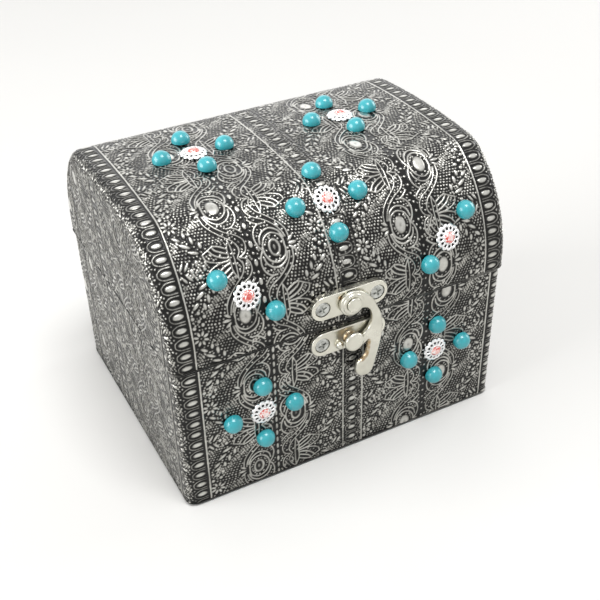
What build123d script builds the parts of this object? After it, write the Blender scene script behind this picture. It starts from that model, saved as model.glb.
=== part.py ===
from build123d import *
import math
import os

os.makedirs("parts", exist_ok=True)

# Trinket chest: boards covered in embossed sheet metal, with a domed lid on two rear hinges.
# Millimetres. X runs along the front, the front faces -Y, Z is up, and Z = 0 is the table.

# Case
lid_width = 107.0
lid_depth = 88.2
seam_height = 48.8
lid_rise = 37.0
seam_gap = 0.2
lid_overhang = 0.5
base_width = lid_width - 2 * lid_overhang
base_depth = lid_depth - 2 * lid_overhang
board = 4.0
cover = 0.5
edge_round = 3.0
lining = 0.8
floor_pad = 2.5
felt = 0.6
felt_inset = 2.0

# Lid arch: straight wall, then side, shoulder and crown arcs that meet in tangents.
# The side and shoulder radii are parts of the arch's rise, the crown radius of its depth.
wall_rise = 3.3
side_share = 1.128
shoulder_share = 0.326
crown_share = 2.95

# Stones: turquoise cabochons in crosses of four about a pierced cap with a rhinestone
cabochon_radius = 2.75
cabochon_lift = 0.4
cross_arm = 9.6
cap_radius = 3.25
cap_lobes = 11
cap_lobe_radius = 0.85
cap_height = 0.7
cap_hole_radius = 0.34
cap_hole_circle = 2.72
collar_radius = 2.05
collar_height = 1.1
rhinestone_radius = 1.6
rhinestone_height = 1.7
rhinestone_facets = 10
base_pattern_x = 0.9
base_cross_half_spacing = 28.9
base_cross_drop = 22.2
lid_pattern_x = -0.3
top_cross_half_spacing = 24.0
top_left_cross_run = -2.9
top_right_cross_run = -3.7
centre_cross_run = 32.2
side_pair_x = 1.5
side_pair_half_spacing = 31.4
left_pair_run = 50.8
right_pair_run = 52.1
side_pair_step_x = 7.0
side_pair_step_run = 6.2

# Latch
latch_x = -0.9
plate_length = 24.0
plate_width = 7.6
plate_thickness = 1.2
upper_plate_rise = 7.5
lower_plate_drop = 5.0
latch_screw_offset = 8.6
screw_head_radius = 2.2
screw_head_depth = 0.9
screw_shank_radius = 0.8
screw_length = 3.6
screw_slot = 0.5
recess_clearance = 0.15
hook_thickness = 1.4
hook_float = 0.2
hook_eye_radius = 3.9
hook_boss_radius = 3.2
hook_boss_height = 0.4
hook_bevel = 0.8
rivet_radius = 1.2
rivet_clearance = 0.08
rivet_head_radius = 2.2
rivet_head_height = 0.6
stud_radius = 1.9
stud_head_radius = 3.0
stud_head_height = 1.4
stud_head_float = 0.2
stop_radius = 1.1
stop_offset = -3.4
stop_drop = 1.4

# Hinges
hinge_x = 27.0
leaf_width = 16.0
leaf_height = 8.6
leaf_thickness = 0.9
leaf_corner_radius = 1.5
knuckle_radius = 1.5
knuckle_count = 5
knuckle_gap = 0.1
knuckle_wall_gap = 0.1
flange_thickness = 0.9
leaf_knuckle_gap = 0.2
pin_radius = 0.75
pin_clearance = 0.05
pin_overrun = 0.4
nail_head_radius = 1.25
nail_head_height = 0.5
nail_radius = 0.5
nail_length = 4.0
nail_offset = 5.0

lid_bottom = seam_height + seam_gap
total_height = lid_bottom + lid_rise
spring_z = lid_bottom + wall_rise
side_radius = side_share * (lid_rise - wall_rise)
shoulder_radius = shoulder_share * (lid_rise - wall_rise)
crown_radius = crown_share * lid_depth
upper_plate_z = seam_height + upper_plate_rise
lower_plate_z = seam_height - lower_plate_drop
base_cross_height = seam_height - base_cross_drop
far = 2 * lid_width
base_front_y = -base_depth / 2
lid_front_y = -lid_depth / 2
inner_width = base_width - 2 * (cover + board)
inner_depth = base_depth - 2 * (cover + board)
lid_inner_width = lid_width - 2 * (cover + board)


def slab(x_low, x_high, y_low, y_high, z_low, z_high):
    size = Box(x_high - x_low, y_high - y_low, z_high - z_low)
    return Pos((x_low + x_high) / 2, (y_low + y_high) / 2, (z_low + z_high) / 2) * size


def polar(centre, radius, angle):
    return (centre[0] + radius * math.cos(angle), centre[1] + radius * math.sin(angle))


# Arc centres of the lid arch in the Y-Z plane, and the angles at which the arcs meet
side_centre = (lid_depth / 2 - side_radius, spring_z)
crown_centre = (0.0, total_height - crown_radius)
to_side = side_radius - shoulder_radius
to_crown = crown_radius - shoulder_radius
gap_y = side_centre[0] - crown_centre[0]
gap_z = side_centre[1] - crown_centre[1]
gap_length = math.hypot(gap_y, gap_z)
along = (gap_length**2 + to_crown**2 - to_side**2) / (2 * gap_length)
across = math.sqrt(to_crown**2 - along**2)
shoulder_centre = (
    crown_centre[0] + (gap_y * along + gap_z * across) / gap_length,
    crown_centre[1] + (gap_z * along - gap_y * across) / gap_length,
)
side_angle = math.atan2(
    shoulder_centre[1] - side_centre[1], shoulder_centre[0] - side_centre[0]
)
crown_angle = math.atan2(
    shoulder_centre[1] - crown_centre[1], shoulder_centre[0] - crown_centre[0]
)
crown_run = crown_radius * (math.pi / 2 - crown_angle)
shoulder_run = shoulder_radius * (crown_angle - side_angle)


def arch_face(inset, bottom):
    """Closed lid profile in the Y-Z plane, moved inwards by inset."""
    arcs = []
    for centre, radius, start, end in (
        (side_centre, side_radius - inset, 0.0, side_angle),
        (shoulder_centre, shoulder_radius - inset, side_angle, crown_angle),
    ):
        points = [polar(centre, radius, a) for a in (start, (start + end) / 2, end)]
        arcs.append(ThreePointArc(*points))
        arcs.append(ThreePointArc(*[(-y, z) for y, z in points]))
    crown_end = polar(crown_centre, crown_radius - inset, crown_angle)
    crown_top = (0.0, total_height - inset)
    arcs.append(ThreePointArc(crown_end, crown_top, (-crown_end[0], crown_end[1])))
    half = lid_depth / 2 - inset
    arcs.append(Polyline((-half, spring_z), (-half, bottom), (half, bottom), (half, spring_z)))
    return Plane.YZ * make_face(Curve() + arcs)


def arch_bar(inset, bottom, x_low, x_high):
    return Pos(x_low, 0, 0) * extrude(arch_face(inset, bottom), amount=x_high - x_low)


def lid_block(inset, bottom):
    """Solid lid form with rounded end edges, moved inwards by inset and cut flat below."""
    half = lid_width / 2 - inset
    block = arch_bar(inset, bottom - 2 * edge_round, -half, half)
    ends = [
        e
        for e in block.edges()
        if abs(abs(e.center().X) - half) < 0.001 and e.center().Z > bottom - 1.5 * edge_round
    ]
    block = fillet(ends, edge_round - inset)
    return block - slab(-far, far, -far, far, -far, bottom)


def base_block(inset, bottom, top):
    outline = RectangleRounded(
        base_width - 2 * inset, base_depth - 2 * inset, edge_round - inset
    )
    return Pos(0, 0, bottom) * extrude(outline, amount=top - bottom)


def lid_plane(x, run):
    """Plane on the lid surface; run is the way along the arch from its top to the front."""
    toward = -1 if run >= 0 else 1
    run = abs(run)
    if run <= crown_run:
        centre, radius, angle = crown_centre, crown_radius, math.pi / 2 - run / crown_radius
    elif run <= crown_run + shoulder_run:
        centre, radius = shoulder_centre, shoulder_radius
        angle = crown_angle - (run - crown_run) / shoulder_radius
    else:
        centre, radius = side_centre, side_radius
        angle = side_angle - (run - crown_run - shoulder_run) / side_radius
    y, z = polar(centre, radius, angle)
    normal = (0, toward * math.cos(angle), math.sin(angle))
    return Plane(origin=(x, toward * y, z), x_dir=(1, 0, 0), z_dir=normal)


def front_plane(x, y, z):
    return Plane(origin=(x, y, z), x_dir=(1, 0, 0), z_dir=(0, -1, 0))


def back_plane(x, y, z):
    return Plane(origin=(x, y, z), x_dir=(-1, 0, 0), z_dir=(0, 1, 0))


def export(solids, name):
    solids = solids if isinstance(solids, list) else [solids]
    shape = solids[0] if len(solids) == 1 else Compound(label=name, children=solids)
    shape.label = name
    export_step(shape, f"parts/{name}.step")


# Fastener positions
latch_screw_xs = [latch_x - latch_screw_offset, latch_x + latch_screw_offset]
upper_plate_y = lid_front_y - plate_thickness
lower_plate_y = base_front_y - plate_thickness
upper_screw_planes = [front_plane(x, upper_plate_y, upper_plate_z) for x in latch_screw_xs]
lower_screw_planes = [front_plane(x, lower_plate_y, lower_plate_z) for x in latch_screw_xs]

axis_y = lid_depth / 2 + knuckle_wall_gap + knuckle_radius
axis_z = seam_height + seam_gap / 2
leaf_start = knuckle_radius + leaf_knuckle_gap
nail_xs = [s * hinge_x + t * nail_offset for s in (-1, 1) for t in (-1, 1)]
base_nail_z = axis_z - leaf_start - leaf_height / 2
lid_nail_z = axis_z + leaf_start + leaf_height / 2
base_leaf_y = base_depth / 2 + leaf_thickness
lid_leaf_y = lid_depth / 2 + leaf_thickness
base_nail_planes = [back_plane(x, base_leaf_y, base_nail_z) for x in nail_xs]
lid_nail_planes = [back_plane(x, lid_leaf_y, lid_nail_z) for x in nail_xs]


def round_bar(radius, low, high):
    return Pos(0, 0, (low + high) / 2) * Cylinder(radius, high - low)


def countersunk_screw():
    """Phillips screw: head just below the plate face at Z = 0, shank into the board."""
    top = -0.1
    bottom = top - screw_head_depth
    profile = Polyline(
        (0, top),
        (screw_head_radius - 0.15, top),
        (screw_head_radius, top - 0.15),
        (screw_head_radius, bottom),
        (screw_shank_radius, bottom),
        (screw_shank_radius, bottom - screw_length + 0.8),
        (0, bottom - screw_length),
        (0, top),
    )
    screw = revolve(Plane.XZ * make_face(profile), Axis.Z)
    for turn in (20, 110):
        slot = Box(2.2 * screw_slot * 2.3, screw_slot, 1.0)
        screw -= Pos(0, 0, top) * Rot(0, 0, turn) * slot
    return screw


def screw_recess():
    head_bottom = -0.1 - screw_head_depth
    recess = round_bar(screw_head_radius + recess_clearance, head_bottom, 1)
    return recess + screw_hole()


def screw_hole():
    return round_bar(screw_shank_radius, -0.1 - screw_head_depth - screw_length, 0)


def nail_hole():
    return round_bar(nail_radius, -nail_length, 0)


def nail():
    head = Cylinder(nail_head_radius, nail_head_height)
    head = fillet(head.edges().sort_by(Axis.Z)[-1], 0.3)
    return Pos(0, 0, nail_head_height / 2) * head + nail_hole()


base_holes = [p * screw_hole() for p in lower_screw_planes]
base_holes += [p * nail_hole() for p in base_nail_planes]
lid_holes = [p * screw_hole() for p in upper_screw_planes]
lid_holes += [p * nail_hole() for p in lid_nail_planes]

# Base boards
wall_bottom = felt + cover
wall_top = seam_height - cover
half_w = inner_width / 2
half_d = inner_depth / 2
ring = base_block(cover, wall_bottom, wall_top)
ring -= slab(-half_w, half_w, -half_d, half_d, 0, far)
for hole in base_holes:
    ring -= hole
export(ring & slab(-far, far, -far, -half_d, 0, far), "base_front_board")
export(ring & slab(-far, far, half_d, far, 0, far), "base_back_board")
export(ring & slab(-far, 0, -half_d, half_d, 0, far), "base_left_board")
export(ring & slab(0, far, -half_d, half_d, 0, far), "base_right_board")
floor_top = wall_bottom + board
export(slab(-half_w, half_w, -half_d, half_d, felt, floor_top), "base_bottom_board")

# Base sheet metal: folded over the rim above and under the walls below
sheet = base_block(0, felt, seam_height) - base_block(cover, wall_bottom, wall_top)
sheet -= slab(-half_w, half_w, -half_d, half_d, 0, far)
for hole in base_holes:
    sheet -= hole
end_d = base_depth / 2 - edge_round
end_x = base_width / 2 - edge_round
left_zone = slab(-far, -end_x, -end_d, end_d, 0, far)
right_zone = slab(end_x, far, -end_d, end_d, 0, far)
export(sheet & left_zone, "base_left_cover")
export(sheet & right_zone, "base_right_cover")
long_sheet = sheet - left_zone - right_zone
export(long_sheet & slab(-far, far, -far, 0, 0, far), "base_front_cover")
export(long_sheet & slab(-far, far, 0, far, 0, far), "base_back_cover")

# Base lining, floor pad and felt
lining_ring = slab(-half_w, half_w, -half_d, half_d, floor_top, seam_height)
lining_w = half_w - lining
lining_d = half_d - lining
lining_ring -= slab(-lining_w, lining_w, -lining_d, lining_d, 0, far)
export(lining_ring, "base_wall_lining")
pad = slab(-lining_w, lining_w, -lining_d, lining_d, floor_top, floor_top + floor_pad)
export(pad, "base_floor_pad")
felt_sheet = RectangleRounded(
    base_width - 2 * felt_inset, base_depth - 2 * felt_inset, edge_round
)
export(extrude(felt_sheet, amount=felt), "base_felt")

# Lid: bent shell board over two arched end boards
board_bottom = lid_bottom + cover
lid_form = lid_block(0, lid_bottom)
lid_boards = lid_block(cover, board_bottom)
lid_hollow = arch_bar(cover + board, lid_bottom - 1, -lid_width, lid_width)
lid_half_x = lid_inner_width / 2
lid_shell = lid_boards - lid_hollow
for hole in lid_holes:
    lid_shell -= hole
export(lid_shell, "lid_shell_board")
end_outer = lid_half_x + board
export(arch_bar(cover + board, board_bottom, -end_outer, -lid_half_x), "lid_left_board")
export(arch_bar(cover + board, board_bottom, lid_half_x, end_outer), "lid_right_board")

# Lid sheet metal: one strip from the front rim over the dome to the back rim, and two ends
lid_opening = arch_bar(cover + board, lid_bottom - 1, -lid_half_x, lid_half_x)
lid_sheet = lid_form - lid_boards - lid_opening
for hole in lid_holes:
    lid_sheet -= hole
lid_end_x = lid_width / 2 - edge_round
left_cap = arch_bar(edge_round, lid_bottom - 1, -lid_width, -lid_end_x)
right_cap = arch_bar(edge_round, lid_bottom - 1, lid_end_x, lid_width)
export(lid_sheet & left_cap, "lid_left_cover")
export(lid_sheet & right_cap, "lid_right_cover")
export(lid_sheet - left_cap - right_cap, "lid_top_cover")

# Lid lining
velvet = arch_bar(cover + board, lid_bottom, -lid_half_x, lid_half_x)
velvet_x = lid_half_x - lining
velvet -= arch_bar(cover + board + lining, lid_bottom - 1, -velvet_x, velvet_x)
export(velvet, "lid_lining")


# Latch plates
def latch_plate(y, z, depth):
    """Obround plate whose face is at y, reaching back by depth."""
    outline = front_plane(latch_x, y + depth, z) * SlotOverall(plate_length, plate_width)
    plate = extrude(outline, depth)
    rim = [e for e in plate.edges() if abs(e.center().Y - y) < 0.001]
    plate = fillet(rim, 0.35)
    for x in latch_screw_xs:
        plate -= front_plane(x, y, z) * screw_recess()
    return plate


upper_plate = latch_plate(upper_plate_y, upper_plate_z, plate_thickness + 2) - lid_form
rivet_plane = front_plane(latch_x, upper_plate_y, upper_plate_z)
upper_plate -= rivet_plane * round_bar(rivet_radius, -5, 1)
export(upper_plate, "latch_upper_plate")

lower_plate = latch_plate(lower_plate_y, lower_plate_z, plate_thickness)
stud_plane = front_plane(latch_x, lower_plate_y, lower_plate_z)
stop_plane = front_plane(latch_x + stop_offset, lower_plate_y, lower_plate_z - stop_drop)
lower_plate -= stud_plane * round_bar(rivet_radius, -plate_thickness, 1)
lower_plate -= stop_plane * round_bar(stop_radius / 2, -plate_thickness, 1)
export(lower_plate, "latch_lower_plate")

export([p * countersunk_screw() for p in upper_screw_planes], "latch_upper_screws")
export([p * countersunk_screw() for p in lower_screw_planes], "latch_lower_screws")

# Swing hook: outline about the rivet, X to the right and Y up, in parts of the plate spacing
reach = upper_plate_z - lower_plate_z


def hook_line(*points, start=None, end=None):
    """Smooth line through the points, or a straight-sided one where no tangents are given."""
    places = [(x * reach, z * reach) for x, z in points]
    return Spline(*places, tangents=[start, end]) if start else Polyline(*places)


eye_top = (0, hook_eye_radius / reach)
tail_right = (0.536, -2.032)
tail_left = (0.144, -1.704)
tooth_right = (0.408, -1.168)
tooth_left = (0.144, -1.152)
throat_low = (0.32, -0.912)
eye_right = (0.24, -0.216)
outer_edge = hook_line(
    eye_top,
    (0.368, 0.136),
    (0.632, -0.264),
    (0.776, -0.752),
    (0.744, -1.264),
    (0.64, -1.696),
    tail_right,
    start=(1, 0),
    end=(-0.3, -1),
)
tail_end = hook_line(
    tail_right,
    (0.36, -2.152),
    (0.136, -2.048),
    (0.096, -1.856),
    tail_left,
    start=(-0.3, -1),
    end=(0.4, 1),
)
tail_inside = hook_line(tail_left, (0.36, -1.552), tooth_right, start=(1, 0.1), end=(0, 1))
tooth = hook_line(tooth_right, (0.256, -1.232), (0.072, -1.32), (0.016, -1.208), tooth_left)
tooth_top = hook_line(tooth_left, (0.216, -1.024), throat_low, start=(1, 0.5), end=(1, 0.7))
throat = hook_line(
    throat_low,
    (0.464, -0.768),
    (0.496, -0.544),
    (0.416, -0.288),
    eye_right,
    start=(1, 0.7),
    end=(-1, -0.3),
)
to_centre = hook_line(eye_right, (0, 0), eye_top)
arm_outline = [outer_edge, tail_end, tail_inside, tooth, tooth_top, throat, to_centre]
hook_back_y = upper_plate_y - hook_float
hook_face_y = hook_back_y - hook_thickness
hook_plane = front_plane(latch_x, hook_back_y, upper_plate_z)
arm = extrude(hook_plane * make_face(Curve() + arm_outline), hook_thickness)
eye = hook_plane * round_bar(hook_eye_radius, 0, hook_thickness)
hook = arm + eye
bevel_middle = Vector(latch_x + 0.32 * reach, hook_face_y, upper_plate_z - 1.57 * reach)
bevel_line = hook.edges().filter_by_position(Axis.Y, hook_face_y, hook_face_y)
hook = chamfer(bevel_line.sort_by_distance(bevel_middle)[0], hook_bevel)
boss = round_bar(hook_boss_radius, 0, hook_boss_height)
hook += front_plane(latch_x, hook_face_y, upper_plate_z) * boss
hook -= hook_plane * round_bar(rivet_radius + rivet_clearance, -1, 5)
export(hook, "latch_hook")

# Rivet, stud and stop
rivet_head_low = hook_float + hook_thickness + hook_boss_height + rivet_clearance
rivet = round_bar(rivet_radius, -plate_thickness, rivet_head_low)
rivet_head = Cylinder(rivet_head_radius, rivet_head_height)
rivet_head = fillet(rivet_head.edges().sort_by(Axis.Z)[-1], 0.4)
rivet += Pos(0, 0, rivet_head_low + rivet_head_height / 2) * rivet_head
export(rivet_plane * rivet - lid_form, "latch_rivet")

stud_rise = lower_plate_y - hook_face_y + stud_head_float
stud_head = Cylinder(stud_head_radius, stud_head_height)
stud_head = fillet(stud_head.edges().sort_by(Axis.Z)[-1], 0.7)
stud = round_bar(stud_radius, 0, stud_rise) + round_bar(rivet_radius, -plate_thickness, 0)
stud += Pos(0, 0, stud_rise + stud_head_height / 2) * stud_head
export(stud_plane * stud, "latch_stud")

stop = Pos(0, 0, stop_radius / 3) * Sphere(stop_radius) & round_bar(5, 0, 5)
stop += round_bar(stop_radius / 2, -plate_thickness, 0)
export(stop_plane * stop, "latch_stop")

# Hinges
knuckle_pitch = leaf_width / knuckle_count
knuckle_length = knuckle_pitch - knuckle_gap


def hinge_leaf(centre_x, up, wall_y, slots, bore):
    """Leaf against the back at wall_y; up is 1 for the lid leaf and -1 for the base leaf."""
    low, high = sorted((axis_z + up * leaf_start, axis_z + up * (leaf_start + leaf_height)))
    half = leaf_width / 2
    leaf = slab(
        centre_x - half, centre_x + half, wall_y - 2, wall_y + leaf_thickness, low, high
    )
    far_corners = leaf.edges().filter_by(Axis.Y).sort_by(Axis.Z, reverse=up > 0)[:2]
    leaf = fillet(far_corners, leaf_corner_radius)
    for slot in slots:
        x = centre_x - half + (slot + 0.5) * knuckle_pitch
        barrel = Pos(x, axis_y, axis_z) * Rot(0, 90, 0) * Cylinder(knuckle_radius, knuckle_length)
        near, far = sorted((up * 0.6, up * (leaf_start + 0.3)))
        flange = slab(
            x - knuckle_length / 2,
            x + knuckle_length / 2,
            wall_y,
            wall_y + flange_thickness,
            axis_z + near,
            axis_z + far,
        )
        leaf += barrel + flange
    pin_hole = Pos(centre_x, axis_y, axis_z) * Rot(0, 90, 0) * Cylinder(bore, 2 * leaf_width)
    return leaf - pin_hole


base_form = base_block(0, felt, seam_height)
base_leaves = []
lid_leaves = []
pins = []
for x in (-hinge_x, hinge_x):
    lower = hinge_leaf(x, -1, base_depth / 2, range(0, knuckle_count, 2), pin_radius) - base_form
    upper = hinge_leaf(
        x, 1, lid_depth / 2, range(1, knuckle_count, 2), pin_radius + pin_clearance
    )
    upper -= lid_form
    for plane in base_nail_planes:
        lower -= plane * nail_hole()
    for plane in lid_nail_planes:
        upper -= plane * nail_hole()
    base_leaves.append(lower)
    lid_leaves.append(upper)
    pin = Pos(x, axis_y, axis_z) * Rot(0, 90, 0) * Cylinder(pin_radius, leaf_width)
    for side in (-1, 1):
        head = Cylinder(pin_radius * 1.5, pin_overrun)
        offset = side * (leaf_width / 2 + pin_overrun / 2)
        pin += Pos(x + offset, axis_y, axis_z) * Rot(0, 90, 0) * head
    pins.append(pin)
export(base_leaves, "hinge_base_leaves")
export(lid_leaves, "hinge_lid_leaves")
export(pins, "hinge_pins")
export([p * nail() for p in base_nail_planes], "hinge_base_nails")
export([p * nail() for p in lid_nail_planes], "hinge_lid_nails")


# Stones and pierced caps
def cabochon():
    return Pos(0, 0, cabochon_lift) * Sphere(cabochon_radius)


def pierced_cap():
    """Scalloped disc with a ring of holes and a raised collar; its underside is cut to fit."""
    depth = cap_height + 1.2
    disc = Circle(cap_radius)
    for n in range(cap_lobes):
        turn = Rot(0, 0, 360 * n / cap_lobes)
        disc += turn * Pos(cap_radius, 0) * Circle(cap_lobe_radius)
    for n in range(cap_lobes):
        turn = Rot(0, 0, 360 * (n + 0.5) / cap_lobes)
        disc -= turn * Pos(cap_hole_circle, 0) * Circle(cap_hole_radius)
    cap = Pos(0, 0, cap_height - depth) * extrude(disc, amount=depth)
    cap += round_bar(collar_radius, 0, collar_height)
    return cap - round_bar(rhinestone_radius, cap_height, 5)


def rhinestone():
    girdle = RegularPolygon(rhinestone_radius, rhinestone_facets)
    table = RegularPolygon(rhinestone_radius * 0.55, rhinestone_facets)
    waist = cap_height + (rhinestone_height - cap_height) * 0.45
    low = extrude(Pos(0, 0, cap_height) * girdle, amount=waist - cap_height)
    top = loft([Pos(0, 0, waist) * girdle, Pos(0, 0, rhinestone_height) * table])
    return low + top


cross_steps = [(cross_arm, 0), (-cross_arm, 0), (0, cross_arm), (0, -cross_arm)]

base_stones = []
base_caps = []
base_gems = []
for side in (-1, 1):
    x = base_pattern_x + side * base_cross_half_spacing
    place = front_plane(x, base_front_y, base_cross_height)
    base_caps.append(place * pierced_cap() - base_form)
    base_gems.append(place * rhinestone())
    for dx, dz in cross_steps:
        place = front_plane(x + dx, base_front_y, base_cross_height + dz)
        base_stones.append(place * cabochon() - base_form)
export(base_stones, "base_cabochons")
export(base_caps, "base_pierced_caps")
export(base_gems, "base_rhinestones")

centres = [
    (lid_pattern_x - top_cross_half_spacing, top_left_cross_run, cross_steps),
    (lid_pattern_x + top_cross_half_spacing, top_right_cross_run, cross_steps),
    (lid_pattern_x, centre_cross_run, cross_steps),
]
for side, run in ((-1, left_pair_run), (1, right_pair_run)):
    x = side_pair_x + side * side_pair_half_spacing
    steps = [
        (side * side_pair_step_x, -side_pair_step_run),
        (-side * side_pair_step_x, side_pair_step_run),
    ]
    centres.append((x, run, steps))

lid_stones = []
lid_caps = []
lid_gems = []
for x, run, steps in centres:
    lid_caps.append(lid_plane(x, run) * pierced_cap() - lid_form)
    lid_gems.append(lid_plane(x, run) * rhinestone())
    for dx, dr in steps:
        lid_stones.append(lid_plane(x + dx, run + dr) * cabochon() - lid_form)
export(lid_stones, "lid_cabochons")
export(lid_caps, "lid_pierced_caps")
export(lid_gems, "lid_rhinestones")
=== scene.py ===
import math

import bmesh
import bpy
import numpy as np
from mathutils import Matrix, Vector


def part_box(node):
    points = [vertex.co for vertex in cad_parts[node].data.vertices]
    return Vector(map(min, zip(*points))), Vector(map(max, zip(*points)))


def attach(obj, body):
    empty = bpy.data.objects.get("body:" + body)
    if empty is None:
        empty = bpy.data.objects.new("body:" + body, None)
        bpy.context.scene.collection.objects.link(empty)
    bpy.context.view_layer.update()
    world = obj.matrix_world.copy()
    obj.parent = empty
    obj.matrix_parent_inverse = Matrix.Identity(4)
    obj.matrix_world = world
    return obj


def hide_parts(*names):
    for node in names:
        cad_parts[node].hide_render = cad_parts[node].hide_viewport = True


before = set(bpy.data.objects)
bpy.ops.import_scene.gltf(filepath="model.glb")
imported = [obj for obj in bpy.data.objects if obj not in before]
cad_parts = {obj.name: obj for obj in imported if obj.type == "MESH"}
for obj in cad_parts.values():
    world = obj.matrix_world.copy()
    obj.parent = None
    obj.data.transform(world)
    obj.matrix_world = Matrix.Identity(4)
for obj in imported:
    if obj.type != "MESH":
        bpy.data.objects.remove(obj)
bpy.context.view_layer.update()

MM = 0.001
rng = np.random.default_rng(7)

# Sizes in millimetres that the CAD nodes' boxes don't give. The arch's side and shoulder radii are
# parts of its rise, and its crown's radius of the lid's depth.
SHEET = 0.5
RELIEF = 0.36
EDGE_ROUND = 3.0
FOLD = 0.4
LIP = 4.5
ARCH_SIDE = 1.128
ARCH_SHOULDER = 0.326
ARCH_CROWN = 2.95
WALL_RISE = 3.3
LID_BOARD = 4.0
LINING = 0.8
WELL_CORNER = 1.6
CLEAR = 0.02

# ---------------------------------------------------------------- Ornament
# Laid out in millimetres. A tile holds two facing columns of plumes and repeats every PERIOD down
# the sheet. Across it, U runs from -HALF_TILE to HALF_TILE; B runs down from an eye's centre.
PERIOD = 30.5
HALF_TILE = 21.3
HALF_MID = 3.8
EDGE_REACH = 16.0
PIXEL = 0.06
BARS, OVALS, SPRAYS = 12, 8, 4
LINE_HALF, LINE_TALL = 0.33, 0.95
STROKE_STEP = 0.12
SOFTEN, SOFTEN_NEAR = 0.07, 0.25
DOT_PITCH, DOT_RADIUS, DOT_TALL, DOT_JITTER, DOT_CLEAR = 0.86, 0.4, 0.95, 0.06, 0.2

# Seeds of the value noise on each kind of piece
SEED_FRONT, SEED_END, SEED_LID, SEED_LID_END, SEED_RIM = 3, 5, 9, 15, 21
SEED_WALL, SEED_PAD, SEED_DOME, SEED_PANEL = 31, 41, 51, 61
NOISE_GRID = 64


def polar(radius, angle):
    return radius * math.cos(angle), radius * math.sin(angle)


def smooth_path(points, step=STROKE_STEP):
    """Points every step along a Catmull-Rom line through the given ones."""
    p = np.array(points, float)
    p = np.vstack([2 * p[0] - p[1], p, 2 * p[-1] - p[-2]])
    out = []
    for a, b, c, d in zip(p, p[1:], p[2:], p[3:]):
        n = max(2, int(np.hypot(*(c - b)[:2]) / step))
        t = (np.arange(n) / n)[:, None]
        out.append(
            0.5 * (2 * b + (c - a) * t + (2 * a - 5 * b + 4 * c - d) * t**2)
            + 0.5 * (3 * b - a - 3 * c + d) * t**3
        )
    return np.vstack(out + [p[-2:-1]])


class Relief:
    """Pressed height of a stretch of sheet, 0 at the ground and 1 at the crests."""

    def __init__(self, low, high):
        self.low = low
        self.shape = (round(PERIOD / PIXEL), round((high - low) / PIXEL) + 1)
        self.step = PERIOD / self.shape[0]
        self.height = np.zeros(self.shape)

    def press(self, u, b, half_u, half_b, height=1.0, turn=0.0, power=3.0):
        reach = max(half_u, half_b)
        cols = np.arange(
            max(0, int((u - reach - self.low) / PIXEL)),
            min(self.shape[1], int((u + reach - self.low) / PIXEL) + 2),
        )
        rows = np.arange(int((b - reach) / self.step) - 1, int((b + reach) / self.step) + 2)
        if not len(cols):
            return
        du = (cols * PIXEL + self.low - u)[None, :]
        db = (rows * self.step - b)[:, None]
        c, s = math.cos(turn), math.sin(turn)
        far = ((du * c + db * s) / half_u) ** 2 + ((db * c - du * s) / half_b) ** 2
        bump = height * np.clip(1 - far ** (power / 2), 0, 1)
        here = np.ix_(rows % self.shape[0], cols)
        self.height[here] = np.maximum(self.height[here], bump)

    def blurred(self, image, sigma):
        fy = np.fft.fftfreq(self.shape[0], self.step)[:, None]
        fx = np.fft.rfftfreq(self.shape[1], PIXEL)[None, :]
        soft = np.exp(-2 * (math.pi * sigma) ** 2 * (fx**2 + fy**2))
        return np.fft.irfft2(np.fft.rfft2(image) * soft, self.shape)

    def softened(self):
        self.height = self.blurred(self.height, SOFTEN)
        return self

    def stipple(self, keep):
        """Fine dots in wavy rows where keep(u, b) is true and no figure is near."""
        near = self.blurred(np.minimum(self.height * 3, 1), SOFTEN_NEAR)
        turns = 6 * math.pi / PERIOD
        rows = round(PERIOD / (DOT_PITCH * 0.87))
        for j in range(rows):
            b = (j + 0.5) * PERIOD / rows
            us = np.arange(self.low, self.low + self.shape[1] * PIXEL, DOT_PITCH)
            for u in us + (j % 2) * DOT_PITCH / 2:
                du, db = rng.normal(0, DOT_JITTER, 2)
                du += 0.4 * math.sin(turns * b + 0.45 * u)
                db += 0.5 * math.sin(0.4 * u + turns * b)
                col = int((u + du - self.low) / PIXEL)
                row = int((b + db) / self.step) % self.shape[0]
                if 0 <= col < self.shape[1] and keep(u + du, b) and near[row, col] < DOT_CLEAR:
                    tall = DOT_TALL * rng.uniform(0.7, 1.1)
                    self.press(u + du, b + db, DOT_RADIUS, DOT_RADIUS * 0.94, tall)

    def sample(self, u, b):
        """Height at the points, between the pixels."""
        x = np.clip((u - self.low) / PIXEL, 0, self.shape[1] - 1.001)
        y = np.mod(b, PERIOD) / self.step
        x0, y0 = np.floor(x).astype(int), np.floor(y).astype(int)
        fx, fy = x - x0, y - y0
        y0 %= self.shape[0]
        y1 = (y0 + 1) % self.shape[0]
        h = self.height
        top = h[y0, x0] * (1 - fx) + h[y0, x0 + 1] * fx
        low = h[y1, x0] * (1 - fx) + h[y1, x0 + 1] * fx
        return top * (1 - fy) + low * fy


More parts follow.
